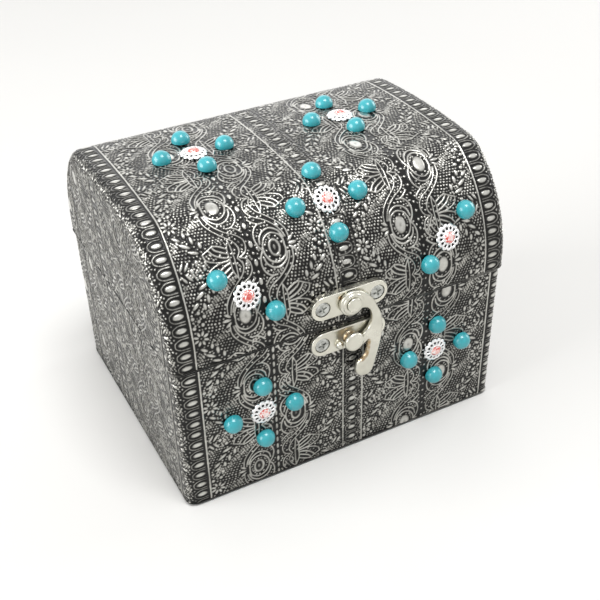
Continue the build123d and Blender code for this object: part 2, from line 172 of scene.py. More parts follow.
class Pen:
    """Draws on a Relief, flipped and shifted."""

    def __init__(self, relief, flip_u=1, flip_b=1, shift=0.0):
        self.relief, self.flip_u, self.flip_b, self.shift = relief, flip_u, flip_b, shift

    def at(self, u, b):
        return self.flip_u * u, self.flip_b * b + self.shift

    def line(self, *points, width=0.7, height=0.88):
        for u, b in smooth_path([self.at(*p) for p in points]):
            self.relief.press(u, b, width / 2, width / 2, height)

    def leaf(self, start, end, width=0.9, height=1.0):
        (u0, b0), (u1, b1) = self.at(*start), self.at(*end)
        half = math.hypot(u1 - u0, b1 - b0) / 2
        turn = math.atan2(b1 - b0, u1 - u0)
        self.relief.press((u0 + u1) / 2, (b0 + b1) / 2, half, width / 2, height, turn)

    def oval(self, u, b, half_u, half_b, height=1.0, power=4.0):
        self.relief.press(*self.at(u, b), half_u, half_b, height, 0.0, power)

    def dot(self, u, b, radius, height=1.0):
        self.oval(u, b, radius, radius, height, 3.0)

    def rosette(self, u, b, count, turn, inner, outer, width):
        """Ring of leaves about a point."""
        for k in range(count):
            angle = 2 * math.pi * (k + turn) / count
            (u0, b0), (u1, b1) = polar(inner, angle), polar(outer, angle)
            self.leaf((u + u0, b + b0), (u + u1, b + b1), width)


def draw_plume(pen):
    """One quarter of a plume: the eye's rings, the S-shaped feathers, the fan and the sprigs."""
    pen.line((-9.0, 0), (-9.0, 1.2), (-8.3, 2.9), (-6.3, 4.0), (-4.2, 3.2), (-3.1, 1.4), (-2.9, 0))
    pen.line((-9.3, 2.0), (-8.4, 4.0), (-6.5, 5.3), (-4.4, 5.0), (-2.9, 3.6), (-2.4, 1.8))
    pen.line((-2.5, 0.2), (-1.7, 1.6), (-1.35, 3.6), (-1.9, 5.6), (-3.3, 6.9), (-5.0, 7.1))
    pen.line((-3.8, 7.1), (-2.6, 7.7), (-1.3, 8.9))
    pen.line(
        (-10.8, 1.6), (-10.5, 4.1), (-9.2, 6.3), (-6.9, 8.6), (-4.8, 10.4), (-3.7, 12.2),
        (-3.6, 13.7), (-4.6, 15.25), width=0.56,
    )
    pen.line(
        (-9.9, 2.0), (-9.2, 4.0), (-7.7, 6.1), (-5.5, 8.0), (-3.1, 9.4), (-1.7, 11.0), (-1.5, 12.8),
        (-2.2, 14.4), (-3.9, 15.25), width=0.56,
    )
    pen.leaf((-12.1, 2.1), (-9.9, 0.5), 1.0)
    pen.line((-5.7, 10.0), (-5.5, 12.6), (-5.4, 15.3), width=0.55)
    pen.line((-5.8, 10.2), (-6.6, 12.2), (-6.7, 14.0), (-6.6, 15.3), width=0.55)
    pen.line((-10.1, 10.5), (-8.6, 11.0), (-6.9, 12.0))
    pen.line((-10.5, 10.7), (-9.6, 11.9), (-7.1, 13.3))
    pen.line((-11.6, 11.4), (-10.4, 12.9), (-8.6, 14.0), (-7.0, 14.5))
    pen.line((-13.3, 12.0), (-11.6, 11.2), (-10.1, 10.4), width=0.6)
    pen.line((-13.4, 12.1), (-12.9, 13.6), (-11.3, 14.6), (-9.3, 15.15), (-7.0, 15.2), width=0.6)
    for tip, root in (
        ((-19.9, 5.4), (-17.5, 7.1)),
        ((-18.6, 7.7), (-15.4, 9.6)),
        ((-17.1, 10.2), (-13.6, 11.4)),
        ((-16.3, 4.5), (-16.4, 6.8)),
        ((-15.0, 6.0), (-14.8, 8.9)),
        ((-13.2, 8.0), (-13.1, 10.5)),
    ):
        pen.leaf(tip, root, 1.2)
    pen.leaf((-18.9, 12.3), (-20.6, 14.9), 0.9)
    pen.leaf((-17.3, 12.4), (-19.4, 15.2), 0.9)
    for u, b, radius in ((-15.4, 13.3, 0.7), (-17.2, 15.1, 0.6), (-13.8, 14.9, 0.6)):
        pen.dot(u, b, radius)


def draw_eye(pen):
    """The eye's boss, with the rosette above it and the cluster of dots below."""
    pen.oval(-6.1, 0, 1.9, 2.7, 1.0, 6.0)
    pen.leaf((-12.9, 0), (-9.8, 0), 1.15)
    pen.rosette(-19.0, 2.6, 8, 0.5, 0.5, 2.5, 0.98)
    pen.dot(-19.0, 2.6, 0.4, 0.7)
    for u, b in (
        (-20.3, -3.3), (-18.5, -4.5), (-17.1, -3.2), (-18.8, -2.3), (-20.3, -0.7), (-17.9, -1.1),
    ):
        pen.dot(u, b, 0.68)


def engrave(relief, u, b, half_u, half_b, depth, power=6.0):
    """Sinks an oval into what is there."""
    kept = relief.height
    relief.height = np.zeros(relief.shape)
    relief.press(u, b, half_u, half_b, depth, 0.0, power)
    relief.height = kept - relief.height


def make_tile(bars, hollow=()):
    """One tile of the sheet: bars or dots down its middle; the eyes named in hollow are sunk."""
    relief = Relief(-HALF_TILE, HALF_TILE)
    half = PERIOD / 2
    for pen in (
        Pen(relief), Pen(relief, 1, -1), Pen(relief, -1, -1, half), Pen(relief, -1, 1, half),
    ):
        draw_plume(pen)
    for pen in (Pen(relief), Pen(relief, -1, -1, half)):
        draw_eye(pen)
    plain = Pen(relief)
    for k in range(BARS):
        b = k * PERIOD / BARS
        if bars == "long":
            plain.oval(0, b, 0.42, 1.1, 0.86, 8.0)
        elif bars and k % 2:
            plain.oval(0, b, 0.6, 1.05, 0.96, 10.0)
        else:
            plain.oval(0, b, 0.42, 0.46, 0.85, 5.0)
    relief.stipple(lambda u, b: 0.9 < abs(u) < HALF_TILE - 0.4)
    for side in hollow:
        u, b = (6.1, half) if side == "right" else (-6.1, 0)
        engrave(relief, u, b, 1.25, 2.05, 0.95)
        relief.press(u, b, 0.55, 1.0, 0.55)
    if "left" not in hollow:
        engrave(relief, -6.1, 0, 0.5, 0.8, 0.25, 2.0)
    return relief.softened()


def make_mid_band():
    relief = Relief(-HALF_MID, HALF_MID)
    pen = Pen(relief)
    for k in range(OVALS):
        b = (k + 0.5) * PERIOD / OVALS
        pen.oval(0.25, b, 1.65, 0.82)
        pen.line(
            (-1.6, b - 1.6), (0.6, b - 1.65), (2.3, b - 1.1), (2.75, b), (2.3, b + 1.1),
            (0.6, b + 1.65), (-1.6, b + 1.6), width=0.42, height=0.72,
        )
        pen.dot(2.45, b + PERIOD / 16, 0.38, 0.8)
        pen.line((-2.3, b - 1.2), (-2.3, b + 1.2), width=0.4, height=0.6)
        pen.dot(3.5, b - 0.9, 0.34, 0.75)
        pen.dot(3.5, b + 0.1, 0.3, 0.7)
        pen.dot(3.45, b + 1.1, 0.34, 0.75)
    relief.stipple(lambda u, b: True)
    return relief.softened()


def make_edge_band():
    """From a tile's outer line to the sheet's edge: ovals in their outlines, then leaf sprays."""
    relief = Relief(0, EDGE_REACH)
    pen = Pen(relief)
    pitch = PERIOD / OVALS
    for k in range(OVALS):
        b = (k + 0.5) * pitch
        pen.oval(2.6, b, 1.75, 0.85)
        pen.line(
            (1.0, b - 1.55), (3.3, b - 1.5), (4.7, b - 0.8), (4.95, b), (4.7, b + 0.8),
            (3.3, b + 1.5), (1.0, b + 1.55), width=0.42, height=0.75,
        )
        pen.dot(4.95, b + pitch / 2, 0.35, 0.8)
    for k in range(SPRAYS):
        b = k * PERIOD / SPRAYS
        for u0, b0, u1, b1 in ((6.3, 0.2, 8.2, 2.0), (6.2, 3.7, 8.3, 2.6), (8.6, 0.4, 8.8, 2.6)):
            pen.leaf((u0, b + b0), (u1, b + b1), 0.85)
        pen.line((6.6, b + 5.6), (8.4, b + 4.6), (9.6, b + 5.4), (10.4, b + 7.2), width=0.5)
        pen.leaf((9.6, b + 0.6), (11.4, b + 1.9), 0.8)
        pen.leaf((9.8, b + 4.2), (12.2, b + 3.2), 0.9)
        pen.dot(7.2, b + 6.6, 0.55)
        pen.dot(9.0, b + 6.7, 0.5)
        pen.rosette(13.4, b + 5.6, 6, 0, 0.4, 1.9, 0.75)
        pen.leaf((12.6, b + 0.4), (15.2, b + 2.2), 0.9)
    relief.stipple(lambda u, b: u > 5.6)
    return relief.softened()


tile_bars = make_tile("short", ("right",))
tile_long = make_tile("long", ("left", "right"))
tile_dots = make_tile("")
mid_band, edge_band = make_mid_band(), make_edge_band()

# Where the tiles' lines stand across each face, and where their eyes and ovals fall down it
LID_LAYOUT = {
    "lines": (-46.5, -3.8, 3.8, 45.7),
    "tiles": (25.4, 44.7),
    "ovals": (24.2, 46.3, 24.0),
    "mid_flip": 1,
    "inner_line": 0.35,
    "left_tile": tile_bars,
}
BASE_LAYOUT = {
    "lines": (-45.95, -2.1, 4.4, 48.5),
    "tiles": (-37.0, -32.0),
    "ovals": (-45.9, -23.0, -24.0),
    "mid_flip": -1,
    "inner_line": 0.9,
    "left_tile": tile_long,
}
END_LAYOUT = {
    "lines": (-38.0, 4.4, 12.0, 54.4),
    "tiles": (-30.0, -14.0),
    "ovals": (-45.9, -23.0, -24.0),
    "mid_flip": 1,
    "inner_line": 0.9,
    "left_tile": tile_long,
}


def sheet_height(across, down, layout):
    """Height of the pressed sheet at the points, 0 to 1."""
    a, b, c, d = layout["lines"]
    left, right = layout["tiles"]
    oval_left, oval_mid, oval_right = (s - PERIOD / (2 * OVALS) for s in layout["ovals"])
    height = np.zeros_like(across)
    for low, high, relief, half, flip, start in (
        (a, b, layout["left_tile"], HALF_TILE, 1, left),
        (c, d, tile_dots, HALF_TILE, 1, right),
        (b, c, mid_band, HALF_MID, layout["mid_flip"], oval_mid),
    ):
        where = (across >= low) & (across < high)
        scale = 2 * half / (high - low) * flip
        height[where] = relief.sample((across - (low + high) / 2) * scale, down - start)[where]
    for out, where, start in (
        (a - across, across < a, oval_left),
        (across - d, across >= d, oval_right),
    ):
        height[where] = edge_band.sample(out, down - start)[where]
    for x, tall in ((a, LINE_TALL), (b, 0.9), (c, layout["inner_line"]), (d, LINE_TALL)):
        line = tall * np.clip(1 - np.abs((across - x) / LINE_HALF) ** 3, 0, 1)
        height = np.maximum(height, line)
    return height


def value_noise(a, b, size, seed):
    """Smooth noise from -1 to 1 at the points, with lumps of about that size."""
    grid = np.random.default_rng(seed).uniform(-1, 1, (NOISE_GRID, NOISE_GRID))
    x, y = a / size, b / size
    x0, y0 = np.floor(x).astype(int), np.floor(y).astype(int)
    fx, fy = x - x0, y - y0
    fx, fy = fx * fx * (3 - 2 * fx), fy * fy * (3 - 2 * fy)

    def row(j):
        near, far = (grid[(y0 + j) % NOISE_GRID, (x0 + i) % NOISE_GRID] for i in (0, 1))
        return near * (1 - fx) + far * fx

    return row(0) * (1 - fy) + row(1) * fy


# ---------------------------------------------------------------- Meshes
surfaces = {}


def add_object(name, mesh, surface):
    mesh.materials.append(surfaces[surface])
    obj = bpy.data.objects.new(name, mesh)
    bpy.context.scene.collection.objects.link(obj)
    return obj


def add_piece(name, mesh, slot, body, *nodes):
    """A visual piece that rides on a body in place of CAD nodes, with its slot's surface."""
    obj = add_object(name, mesh, slot)
    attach(obj, body)
    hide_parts(*nodes)
    return obj


def mesh_from(name, verts, faces, smooth):
    """Mesh from points in millimetres and faces; smooth is one flag, or a list of one a face."""
    mesh = bpy.data.meshes.new(name)
    loops = np.concatenate([np.asarray(f, np.int32) for f in faces])
    sizes = np.array([len(f) for f in faces], np.int32)
    starts = np.concatenate([[0], np.cumsum(sizes)[:-1]]).astype(np.int32)
    mesh.vertices.add(len(verts))
    mesh.vertices.foreach_set("co", (np.asarray(verts) * MM).astype(np.float32).ravel())
    mesh.loops.add(len(loops))
    mesh.loops.foreach_set("vertex_index", loops)
    mesh.polygons.add(len(sizes))
    mesh.polygons.foreach_set("loop_start", starts)
    mesh.polygons.foreach_set("use_smooth", np.ones(len(sizes), bool) & smooth)
    mesh.update(calc_edges=True)
    mesh.validate()
    return mesh


def face_outward(mesh, merge=False):
    """Turns the faces outward, first merging points that coincide if asked."""
    work = bmesh.new()
    work.from_mesh(mesh)
    if merge:
        bmesh.ops.remove_doubles(work, verts=work.verts, dist=1e-6)
        bmesh.ops.dissolve_degenerate(work, edges=work.edges, dist=1e-6)
    bmesh.ops.recalc_face_normals(work, faces=work.faces)
    work.to_mesh(mesh)
    work.free()


def set_attribute(mesh, name, values, domain="POINT"):
    data = mesh.attributes.new(name, "FLOAT", domain).data
    data.foreach_set("value", np.asarray(values, np.float32))


def following(items):
    """Each item of a ring with the one after it."""
    return zip(items, items[1:] + items[:1])


def band(low, high, count):
    """Quads between two rings of points, which start at low and high."""
    ahead = [(i, (i + 1) % count) for i in range(count)]
    return [(low + i, low + j, high + j, high + i) for i, j in ahead]


def grid_faces(rows, cols):
    """A grid's point numbers and its quads."""
    ids = np.arange(rows * cols).reshape(rows, cols)
    corners = (ids[:-1, :-1], ids[:-1, 1:], ids[1:, 1:], ids[1:, :-1])
    return ids, np.stack(corners, -1).reshape(-1, 4)


def pressed_sheet(name, body, node, us, vs, surface, height, bends_u=(), bends_v=()):
    """Closed piece of sheet metal: the pressed face on a fine grid, a plain back and cut edges.
    surface(u, v) gives points and normals; the back keeps the grid lines in bends_u and bends_v."""
    u, v = np.meshgrid(us, vs)
    points, normals = surface(u, v)
    relief = height(u, v)
    face = points - normals * ((1 - relief) * RELIEF)[..., None]
    back = points - normals * SHEET
    nv, nu = u.shape
    across_face = np.cross(face[0, 1] - face[0, 0], face[1, 0] - face[0, 0])
    outward = float(np.dot(across_face, normals[0, 0])) > 0
    ids, quads = grid_faces(nv, nu)
    if not outward:
        quads = quads[:, ::-1]
    keep_u = sorted({0, nu - 1, *bends_u})
    keep_v = sorted({0, nv - 1, *bends_v})
    border = [(0, i) for i in range(nu)] + [(j, nu - 1) for j in range(1, nv)]
    border += [(nv - 1, i) for i in range(nu - 2, -1, -1)] + [(j, 0) for j in range(nv - 2, 0, -1)]
    order = sorted({(j, i) for j in keep_v for i in keep_u} | set(border))
    back_id = {key: nu * nv + n for n, key in enumerate(order)}
    extra = []
    for j0, j1 in zip(keep_v, keep_v[1:]):
        for i0, i1 in zip(keep_u, keep_u[1:]):
            cols = range(i0, i1) if j0 == 0 else (i0,)
            rows = range(j0, j1) if i1 == nu - 1 else (j0,)
            cols_back = range(i1, i0, -1) if j1 == nv - 1 else (i1,)
            rows_back = range(j1, j0, -1) if i0 == 0 else (j1,)
            ring = [(j0, i) for i in cols] + [(j, i1) for j in rows]
            ring += [(j1, i) for i in cols_back] + [(j, i0) for j in rows_back]
            cell = [back_id[key] for key in ring]
            extra.append(cell[::-1] if outward else cell)
    for a, b in following(border):
        side = [ids[b], ids[a], back_id[a], back_id[b]]
        extra.append(side if outward else side[::-1])
    verts = np.vstack([face.reshape(-1, 3), [back[key] for key in order]])
    smooth = [True] * len(quads) + [False] * len(extra)
    mesh = mesh_from(name, verts, list(quads) + extra, smooth)
    set_attribute(mesh, "relief", np.concatenate([relief.ravel(), np.zeros(len(order))]))
    add_piece(name, mesh, "embossed_sheet", body, node)


# ---------------------------------------------------------------- Materials


class Shader:
    """Adds nodes to a tree. A node's inputs are numbers, colours or other nodes' outputs."""

    def __init__(self, tree):
        self.nodes, self.links = tree.nodes, tree.links

    def feed(self, node, inputs):
        for key, value in inputs.items():
            if isinstance(value, bpy.types.NodeSocket):
                self.links.new(value, node.inputs[key])
            else:
                node.inputs[key].default_value = value

    def add(self, kind, inputs, **settings):
        node = self.nodes.new("ShaderNode" + kind)
        for key, value in settings.items():
            setattr(node, key, value)
        self.feed(node, inputs)
        return node

    def coords(self):
        return self.add("TexCoord", {}).outputs["Object"]

    def attribute(self, name):
        return self.add("Attribute", {}, attribute_name=name).outputs["Fac"]

    def noise(self, scale, detail=3.0, rough=0.5, coords=None):
        inputs = {"Scale": scale, "Detail": detail, "Roughness": rough}
        inputs["Vector"] = self.coords() if coords is None else coords
        return self.add("TexNoise", inputs).outputs["Fac"]

    def ramp(self, value, *stops):
        node = self.add("ValToRGB", {"Fac": value})
        elements = node.color_ramp.elements
        while len(elements) < len(stops):
            elements.new(0.5)
        for element, (position, colour) in zip(elements, stops):
            element.position = position
            element.color = (*colour, 1)
        return node.outputs["Color"]

    def remap(self, value, low, high, to_low, to_high, **settings):
        ends = {"From Min": low, "From Max": high, "To Min": to_low, "To Max": to_high}
        return self.add("MapRange", {**ends, "Value": value}, **settings).outputs["Result"]

    def math(self, operation, a, b):
        return self.add("Math", {0: a, 1: b}, operation=operation).outputs[0]

    def vector(self, operation, a, b):
        return self.add("VectorMath", {0: a, 1: b}, operation=operation).outputs["Value"]

    def bump(self, height, strength, distance=0.0001):
        inputs = {"Strength": strength, "Distance": distance, "Height": height}
        return self.add("Bump", inputs).outputs["Normal"]


class Surface(Shader):
    def __init__(self, name):
        surfaces[name] = material = bpy.data.materials.new(name)
        material.use_nodes = True
        super().__init__(material.node_tree)

    def finish(self, inputs):
        self.feed(self.nodes["Principled BSDF"], inputs)


def embossed_material():
    """Silver-toned sheet, blackened in its hollows and polished on its crests."""
    s = Surface("embossed_sheet")
    wear, fine = s.noise(260, 4.0, 0.6), s.noise(1500, 2.0)
    wear_and_shade = s.math("ADD", s.attribute("relief"), s.remap(wear, 0.3, 0.7, -0.14, 0.14))
    wear_and_shade = s.math("ADD", wear_and_shade, s.remap(fine, 0.3, 0.7, -0.06, 0.06))
    colour = s.ramp(
        wear_and_shade,
        (0.0, (0.004, 0.004, 0.0035)), (0.28, (0.016, 0.0155, 0.0135)), (0.5, (0.17, 0.167, 0.152)),
        (0.75, (0.44, 0.433, 0.4)), (1.0, (0.59, 0.585, 0.55)),
    )
    s.finish({
        "Base Color": colour,
        "Metallic": s.remap(wear_and_shade, 0.1, 0.6, 0.3, 1.0),
        "Roughness": s.remap(wear_and_shade, 0.1, 0.8, 0.38, 0.31),
        "Specular IOR Level": 0.12,
        "Coat Weight": 1.0, "Coat Roughness": 0.28, "Coat IOR": 1.25,
        "Normal": s.bump(fine, 0.15),
    })


def metal_material(name, colour, dark, rough, scale):
    s = Surface(name)
    patches = s.noise(scale, 4.0, 0.6)
    s.finish({
        "Base Color": s.ramp(patches, (0.35, dark), (0.6, colour)),
        "Metallic": 1.0,
        "Roughness": s.remap(patches, 0.3, 0.7, rough + 0.1, rough),
        "Normal": s.bump(s.noise(scale * 5, 2.0), 0.08),
    })


def turquoise_material():
    s = Surface("turquoise")
    cloud = s.noise(220, 5.0, 0.6)
    colour = s.ramp(
        cloud, (0.3, (0.025, 0.34, 0.39)), (0.55, (0.038, 0.4, 0.455)), (0.8, (0.07, 0.47, 0.53))
    )
    s.finish({
        "Base Color": colour, "Roughness": 0.3,
        "Coat Weight": 0.5, "Coat Roughness": 0.14,
        "Normal": s.bump(cloud, 0.05),
    })


def stone_material():
    """Foil-backed rhinestone with painted glints: each facet is painted its own depth of pink up to
    near white, standing in for the light it catches.
    """
    s = Surface("pink_stone")
    mottle = s.remap(s.noise(1400, 2.0), 0.3, 0.7, -0.12, 0.12)
    # Deep red facets are painted shade, near white ones painted glints.
    colour = s.ramp(
        s.math("ADD", s.attribute("facet_glint"), mottle),
        (0.08, (0.7, 0.08, 0.06)), (0.32, (0.9, 0.3, 0.26)), (0.58, (0.98, 0.62, 0.57)),
        (0.82, (1.0, 0.93, 0.92)),
    )
    s.finish({
        "Base Color": colour, "Metallic": 0.35, "Roughness": 0.12,
        "Coat Weight": 1.0, "Coat Roughness": 0.03,
    })


def cloth_material(name, dark, light, scale, sheen):
    s = Surface(name)
    coords = s.coords()
    pile, nap = s.noise(scale, 3.0, 0.7, coords), s.noise(45, 3.0, 0.5, coords)
    both = s.math("ADD", s.math("MULTIPLY", pile, 0.5), s.math("MULTIPLY", nap, 0.5))
    s.finish({
        "Base Color": s.ramp(both, (0.35, dark), (0.65, light)), "Roughness": 0.9,
        "Sheen Weight": sheen, "Sheen Roughness": 0.4,
        "Normal": s.bump(pile, 0.6, 0.0003),
    })


def board_material():
    s = Surface("board")
    stretch = s.add("Mapping", {"Vector": s.coords(), "Scale": (0.12, 1.0, 1.0)})
    grain = s.noise(900, 4.0, 0.6, stretch.outputs["Vector"])
    s.finish({
        "Base Color": s.ramp(grain, (0.3, (0.25, 0.15, 0.08)), (0.7, (0.42, 0.28, 0.16))),
        "Roughness": 0.75,
        "Normal": s.bump(grain, 0.3, 0.0002),
    })


def nickel_material():
    """Warm bright nickel plate, painted brass-brown at one small spot and where the mask says,
    which is painted shade under the stud's head and a painted reflection on the hook's bevel.
    """
    s = Surface("nickel")
    coords = s.coords()
    cloud = s.noise(160, 4.0, 0.55, coords)
    # A small spot about this point is painted brass-brown too.
    far = s.vector("DISTANCE", coords, (-4.1 * MM, -45.3 * MM, 58.4 * MM))
    # Where the painted shade and painted reflection turn the nickel brass-brown.
    wear_and_shade = s.math("ADD", s.attribute("bare"), s.remap(far, 0.0004, 0.0009, 1.0, 0.0))
    flecks = s.remap(s.noise(900, 3.0, 0.6, coords), 0.3, 0.6, 0.45, 1.0)
    # Mixes in the brass-brown of the painted shade and reflection.
    mix = s.add(
        "Mix",
        {
            "Factor": s.math("MULTIPLY", wear_and_shade, flecks),
            "A": s.ramp(cloud, (0.3, (0.57, 0.555, 0.48)), (0.7, (0.73, 0.715, 0.63))),
            "B": (0.36, 0.26, 0.15, 1),
        },
        data_type="RGBA",
    )
    s.finish({
        "Base Color": mix.outputs["Result"],
        "Metallic": 1.0,
        "Roughness": s.remap(cloud, 0.3, 0.7, 0.33, 0.24),
        "Normal": s.bump(s.noise(2200, 2.0, 0.5, coords), 0.06),
    })


embossed_material()
nickel_material()
metal_material("screw_steel", (0.56, 0.57, 0.54), (0.28, 0.285, 0.27), 0.22, 700)
metal_material("bright_cap", (0.95, 0.95, 0.95), (0.78, 0.78, 0.78), 0.3, 500)
turquoise_material()
stone_material()
cloth_material("velvet", (0.06, 0.002, 0.006), (0.16, 0.008, 0.016), 2600, 0.6)
cloth_material("felt", (0.006, 0.006, 0.007), (0.03, 0.03, 0.032), 1800, 0.2)
board_material()

BASE_WALLS = [f"base_{side}_board" for side in ("front", "back", "left", "right")]
LID_BOARDS = ["lid_shell_board", "lid_left_board", "lid_right_board"]
LATCH = ["latch_upper_plate", "latch_lower_plate", "latch_rivet", "latch_stud", "latch_stop"]
for surface, nodes in (
    ("board", [*BASE_WALLS, "base_bottom_board", *LID_BOARDS]),
    ("nickel", [*LATCH, "latch_hook", "hinge_base_leaves", "hinge_lid_leaves", "hinge_pins"]),
    ("screw_steel", ["latch_upper_screws", "latch_lower_screws"]),
    ("screw_steel", ["hinge_base_nails", "hinge_lid_nails"]),
    ("turquoise", ["base_cabochons", "lid_cabochons"]),
    ("bright_cap", ["base_pierced_caps", "lid_pierced_caps"]),
    ("pink_stone", ["base_rhinestones", "lid_rhinestones"]),
):
    for node in nodes:
        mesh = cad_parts[node].data
        mesh.materials.clear()
        mesh.materials.append(surfaces[surface])

# ---------------------------------------------------------------- Box measures, in millimetres


def box_mm(*nodes):
    lows, highs = zip(*(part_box(node) for node in nodes))
    low, high = np.array(lows).min(0) * 1000, np.array(highs).max(0) * 1000
    return low.round(3), high.round(3)


base_low, base_high = box_mm("base_front_cover", "base_back_cover")
lid_low, lid_high = box_mm("lid_top_cover")
half_base_x, half_base_y = float(base_high[0]), float(base_high[1])
half_lid_x, half_lid_y = float(lid_high[0]), float(lid_high[1])
base_bottom, base_top = float(base_low[2]), float(base_high[2])
lid_bottom, lid_top = float(lid_low[2]), float(lid_high[2])

rise = lid_top - lid_bottom - WALL_RISE
spring = lid_bottom + WALL_RISE
side_radius, shoulder_radius = ARCH_SIDE * rise, ARCH_SHOULDER * rise
crown_radius = ARCH_CROWN * 2 * half_lid_y
side_centre = np.array([half_lid_y - side_radius, spring])
crown_centre = np.array([0.0, lid_top - crown_radius])
gap = side_centre - crown_centre
reach = math.hypot(*gap)
near_crown, near_side = crown_radius - shoulder_radius, side_radius - shoulder_radius
along = (reach**2 + near_crown**2 - near_side**2) / (2 * reach)
across = math.sqrt(near_crown**2 - along**2)
unit = gap / reach
sideways = across * np.array([unit[1], -unit[0]])
shoulder_centre = crown_centre + along * unit + sideways
if shoulder_centre[1] < spring:
    shoulder_centre = crown_centre + along * unit - sideways
side_angle = math.atan2(*(shoulder_centre - side_centre)[::-1])
crown_angle = math.atan2(*(shoulder_centre - crown_centre)[::-1])
crown_run = crown_radius * (math.pi / 2 - crown_angle)
shoulder_end = crown_run + shoulder_radius * (crown_angle - side_angle)
side_end = shoulder_end + side_radius * side_angle
half_run = side_end + WALL_RISE


def arch(run):
    """(y, z, normal_y, normal_z) on the lid's outline at runs from its crown, above 0 in front."""
    toward = np.where(run >= 0, -1.0, 1.0)
    run = np.abs(run)
    angle = np.select(
        [run <= crown_run, run <= shoulder_end, run <= side_end],
        [
            math.pi / 2 - run / crown_radius,
            crown_angle - (run - crown_run) / shoulder_radius,
            side_angle - (run - shoulder_end) / side_radius,
        ],
        0.0,
    )
    which = [run <= crown_run, run <= shoulder_end]
    radius = np.select(which, [crown_radius, shoulder_radius], side_radius)
    cy = np.select(which, [crown_centre[0], shoulder_centre[0]], side_centre[0])
    cz = np.select(which, [crown_centre[1], shoulder_centre[1]], side_centre[1])
    down = np.clip(run - side_end, 0, None)
    y, z = cy + radius * np.cos(angle), cz + radius * np.sin(angle) - down
    return toward * y, z, toward * np.cos(angle), np.sin(angle)


def rounded_run(q, flat):
    """A run that turns round an edge past flat on each side: its turn, side and X."""
    turn = np.clip(np.abs(q) - flat, 0, None) / EDGE_ROUND
    side = np.sign(q)
    return turn, side, np.clip(q, -flat, flat) + side * EDGE_ROUND * np.sin(turn)


def base_wall(q, z, toward):
    """Base wall and its rounded corners: q runs along the wall, toward is -1 for the front."""
    turn, side, x = rounded_run(q, half_base_x - EDGE_ROUND)
    y = toward * (half_base_y - EDGE_ROUND + EDGE_ROUND * np.cos(turn))
    normal = np.stack([side * np.sin(turn), toward * np.cos(turn), np.zeros_like(q)], -1)
    return np.stack([x * -toward, y, z], -1), normal * (-toward, 1, 1)


def lid_wall(q, run):
    """Lid's dome and its rounded end edges: q runs along X, run down from the crown."""
    turn, side, x = rounded_run(q, half_lid_x - EDGE_ROUND)
    y, z, ny, nz = arch(run)
    inset = EDGE_ROUND * (1 - np.cos(turn))
    points = np.stack([x, y - ny * inset, z - nz * inset], -1)
    return points, np.stack([side * np.sin(turn), ny * np.cos(turn), nz * np.cos(turn)], -1)


CORNER = EDGE_ROUND * math.pi / 2
base_half_q = half_base_x - EDGE_ROUND + CORNER
lid_half_q = half_lid_x - EDGE_ROUND + CORNER


def steps(low, high, step):
    return np.linspace(low, high, max(2, int(round((high - low) / step)) + 1))


# ---------------------------------------------------------------- Base and lid sheets
FRONT_STEP, OTHER_STEP = 0.2, 0.26
DENT_DEPTH, DENT_WIDE, DENT_NARROW = 0.14, 5.0, 1.7
FADE_REACH, FADE_LEVEL = 0.3, 0.6
wall_low, wall_high = base_bottom + FOLD, base_top - FOLD
edge_run = half_run - FOLD


def puff(a, b, size, seed):
    return 0.5 + 0.5 * value_noise(a, b, size, seed)


def dented(height, a, b, seed):
    """The height, with the sheet's slight unevenness pressed in."""
    lumps = puff(a, b, DENT_WIDE, seed) + 0.3 * value_noise(a, b, DENT_NARROW, seed + 1)
    return height * (1 - DENT_DEPTH * np.clip(lumps, 0, 1))


def fade_to_fold(height, distance):
    """Brings the relief up to the sheet's level by the folded edge."""
    blend = np.clip(distance / FADE_REACH, 0, 1)
    return np.maximum(height, FADE_LEVEL * (1 - blend))


def wall_height(across, z, layout, shift, seed):
    relief = dented(sheet_height(across + shift, -z, layout), across, z, seed)
    return fade_to_fold(relief, np.minimum(z - wall_low, wall_high - z))


def curved_lines(us, flat, step):
    """Every third grid line round the rounded edges."""
    return [i for i in range(0, len(us), 3) if abs(us[i]) > flat - step]


def base_sheet(name, node, q_low, q_high, toward, step, shift):
    us, vs = steps(q_low, q_high, step), steps(wall_low, wall_high, step)
    pressed_sheet(
        name, "base", node, us, vs, lambda q, z: base_wall(q, z, toward),
        lambda q, z: wall_height(q, z, BASE_LAYOUT, shift, SEED_FRONT),
        curved_lines(us, half_base_x - EDGE_ROUND, step),
    )


def base_end_sheet(name, node, side):
    half = half_base_y - EDGE_ROUND
    us, vs = steps(-half, half, OTHER_STEP), steps(wall_low, wall_high, OTHER_STEP)

    def surface(a, z):
        points = np.stack([np.full_like(a, side * half_base_x), -side * a, z], -1)
        return points, np.broadcast_to((float(side), 0.0, 0.0), points.shape)

    def height(a, z):
        return wall_height(a, z, END_LAYOUT, 0, SEED_END + side)

    pressed_sheet(name, "base", node, us, vs, surface, height)


def lid_sheet(name, q_low, q_high, run_low, run_high, step):
    us, vs = steps(q_low, q_high, step), steps(run_low, run_high, step)

    def height(q, run):
        relief = dented(sheet_height(q, run, LID_LAYOUT), q, run, SEED_LID)
        return fade_to_fold(relief, edge_run - np.abs(run))

    curved = curved_lines(us, half_lid_x - EDGE_ROUND, step)
    arched = range(0, len(vs), 6)
    pressed_sheet(name, "lid", "lid_top_cover", us, vs, lid_wall, height, curved, arched)


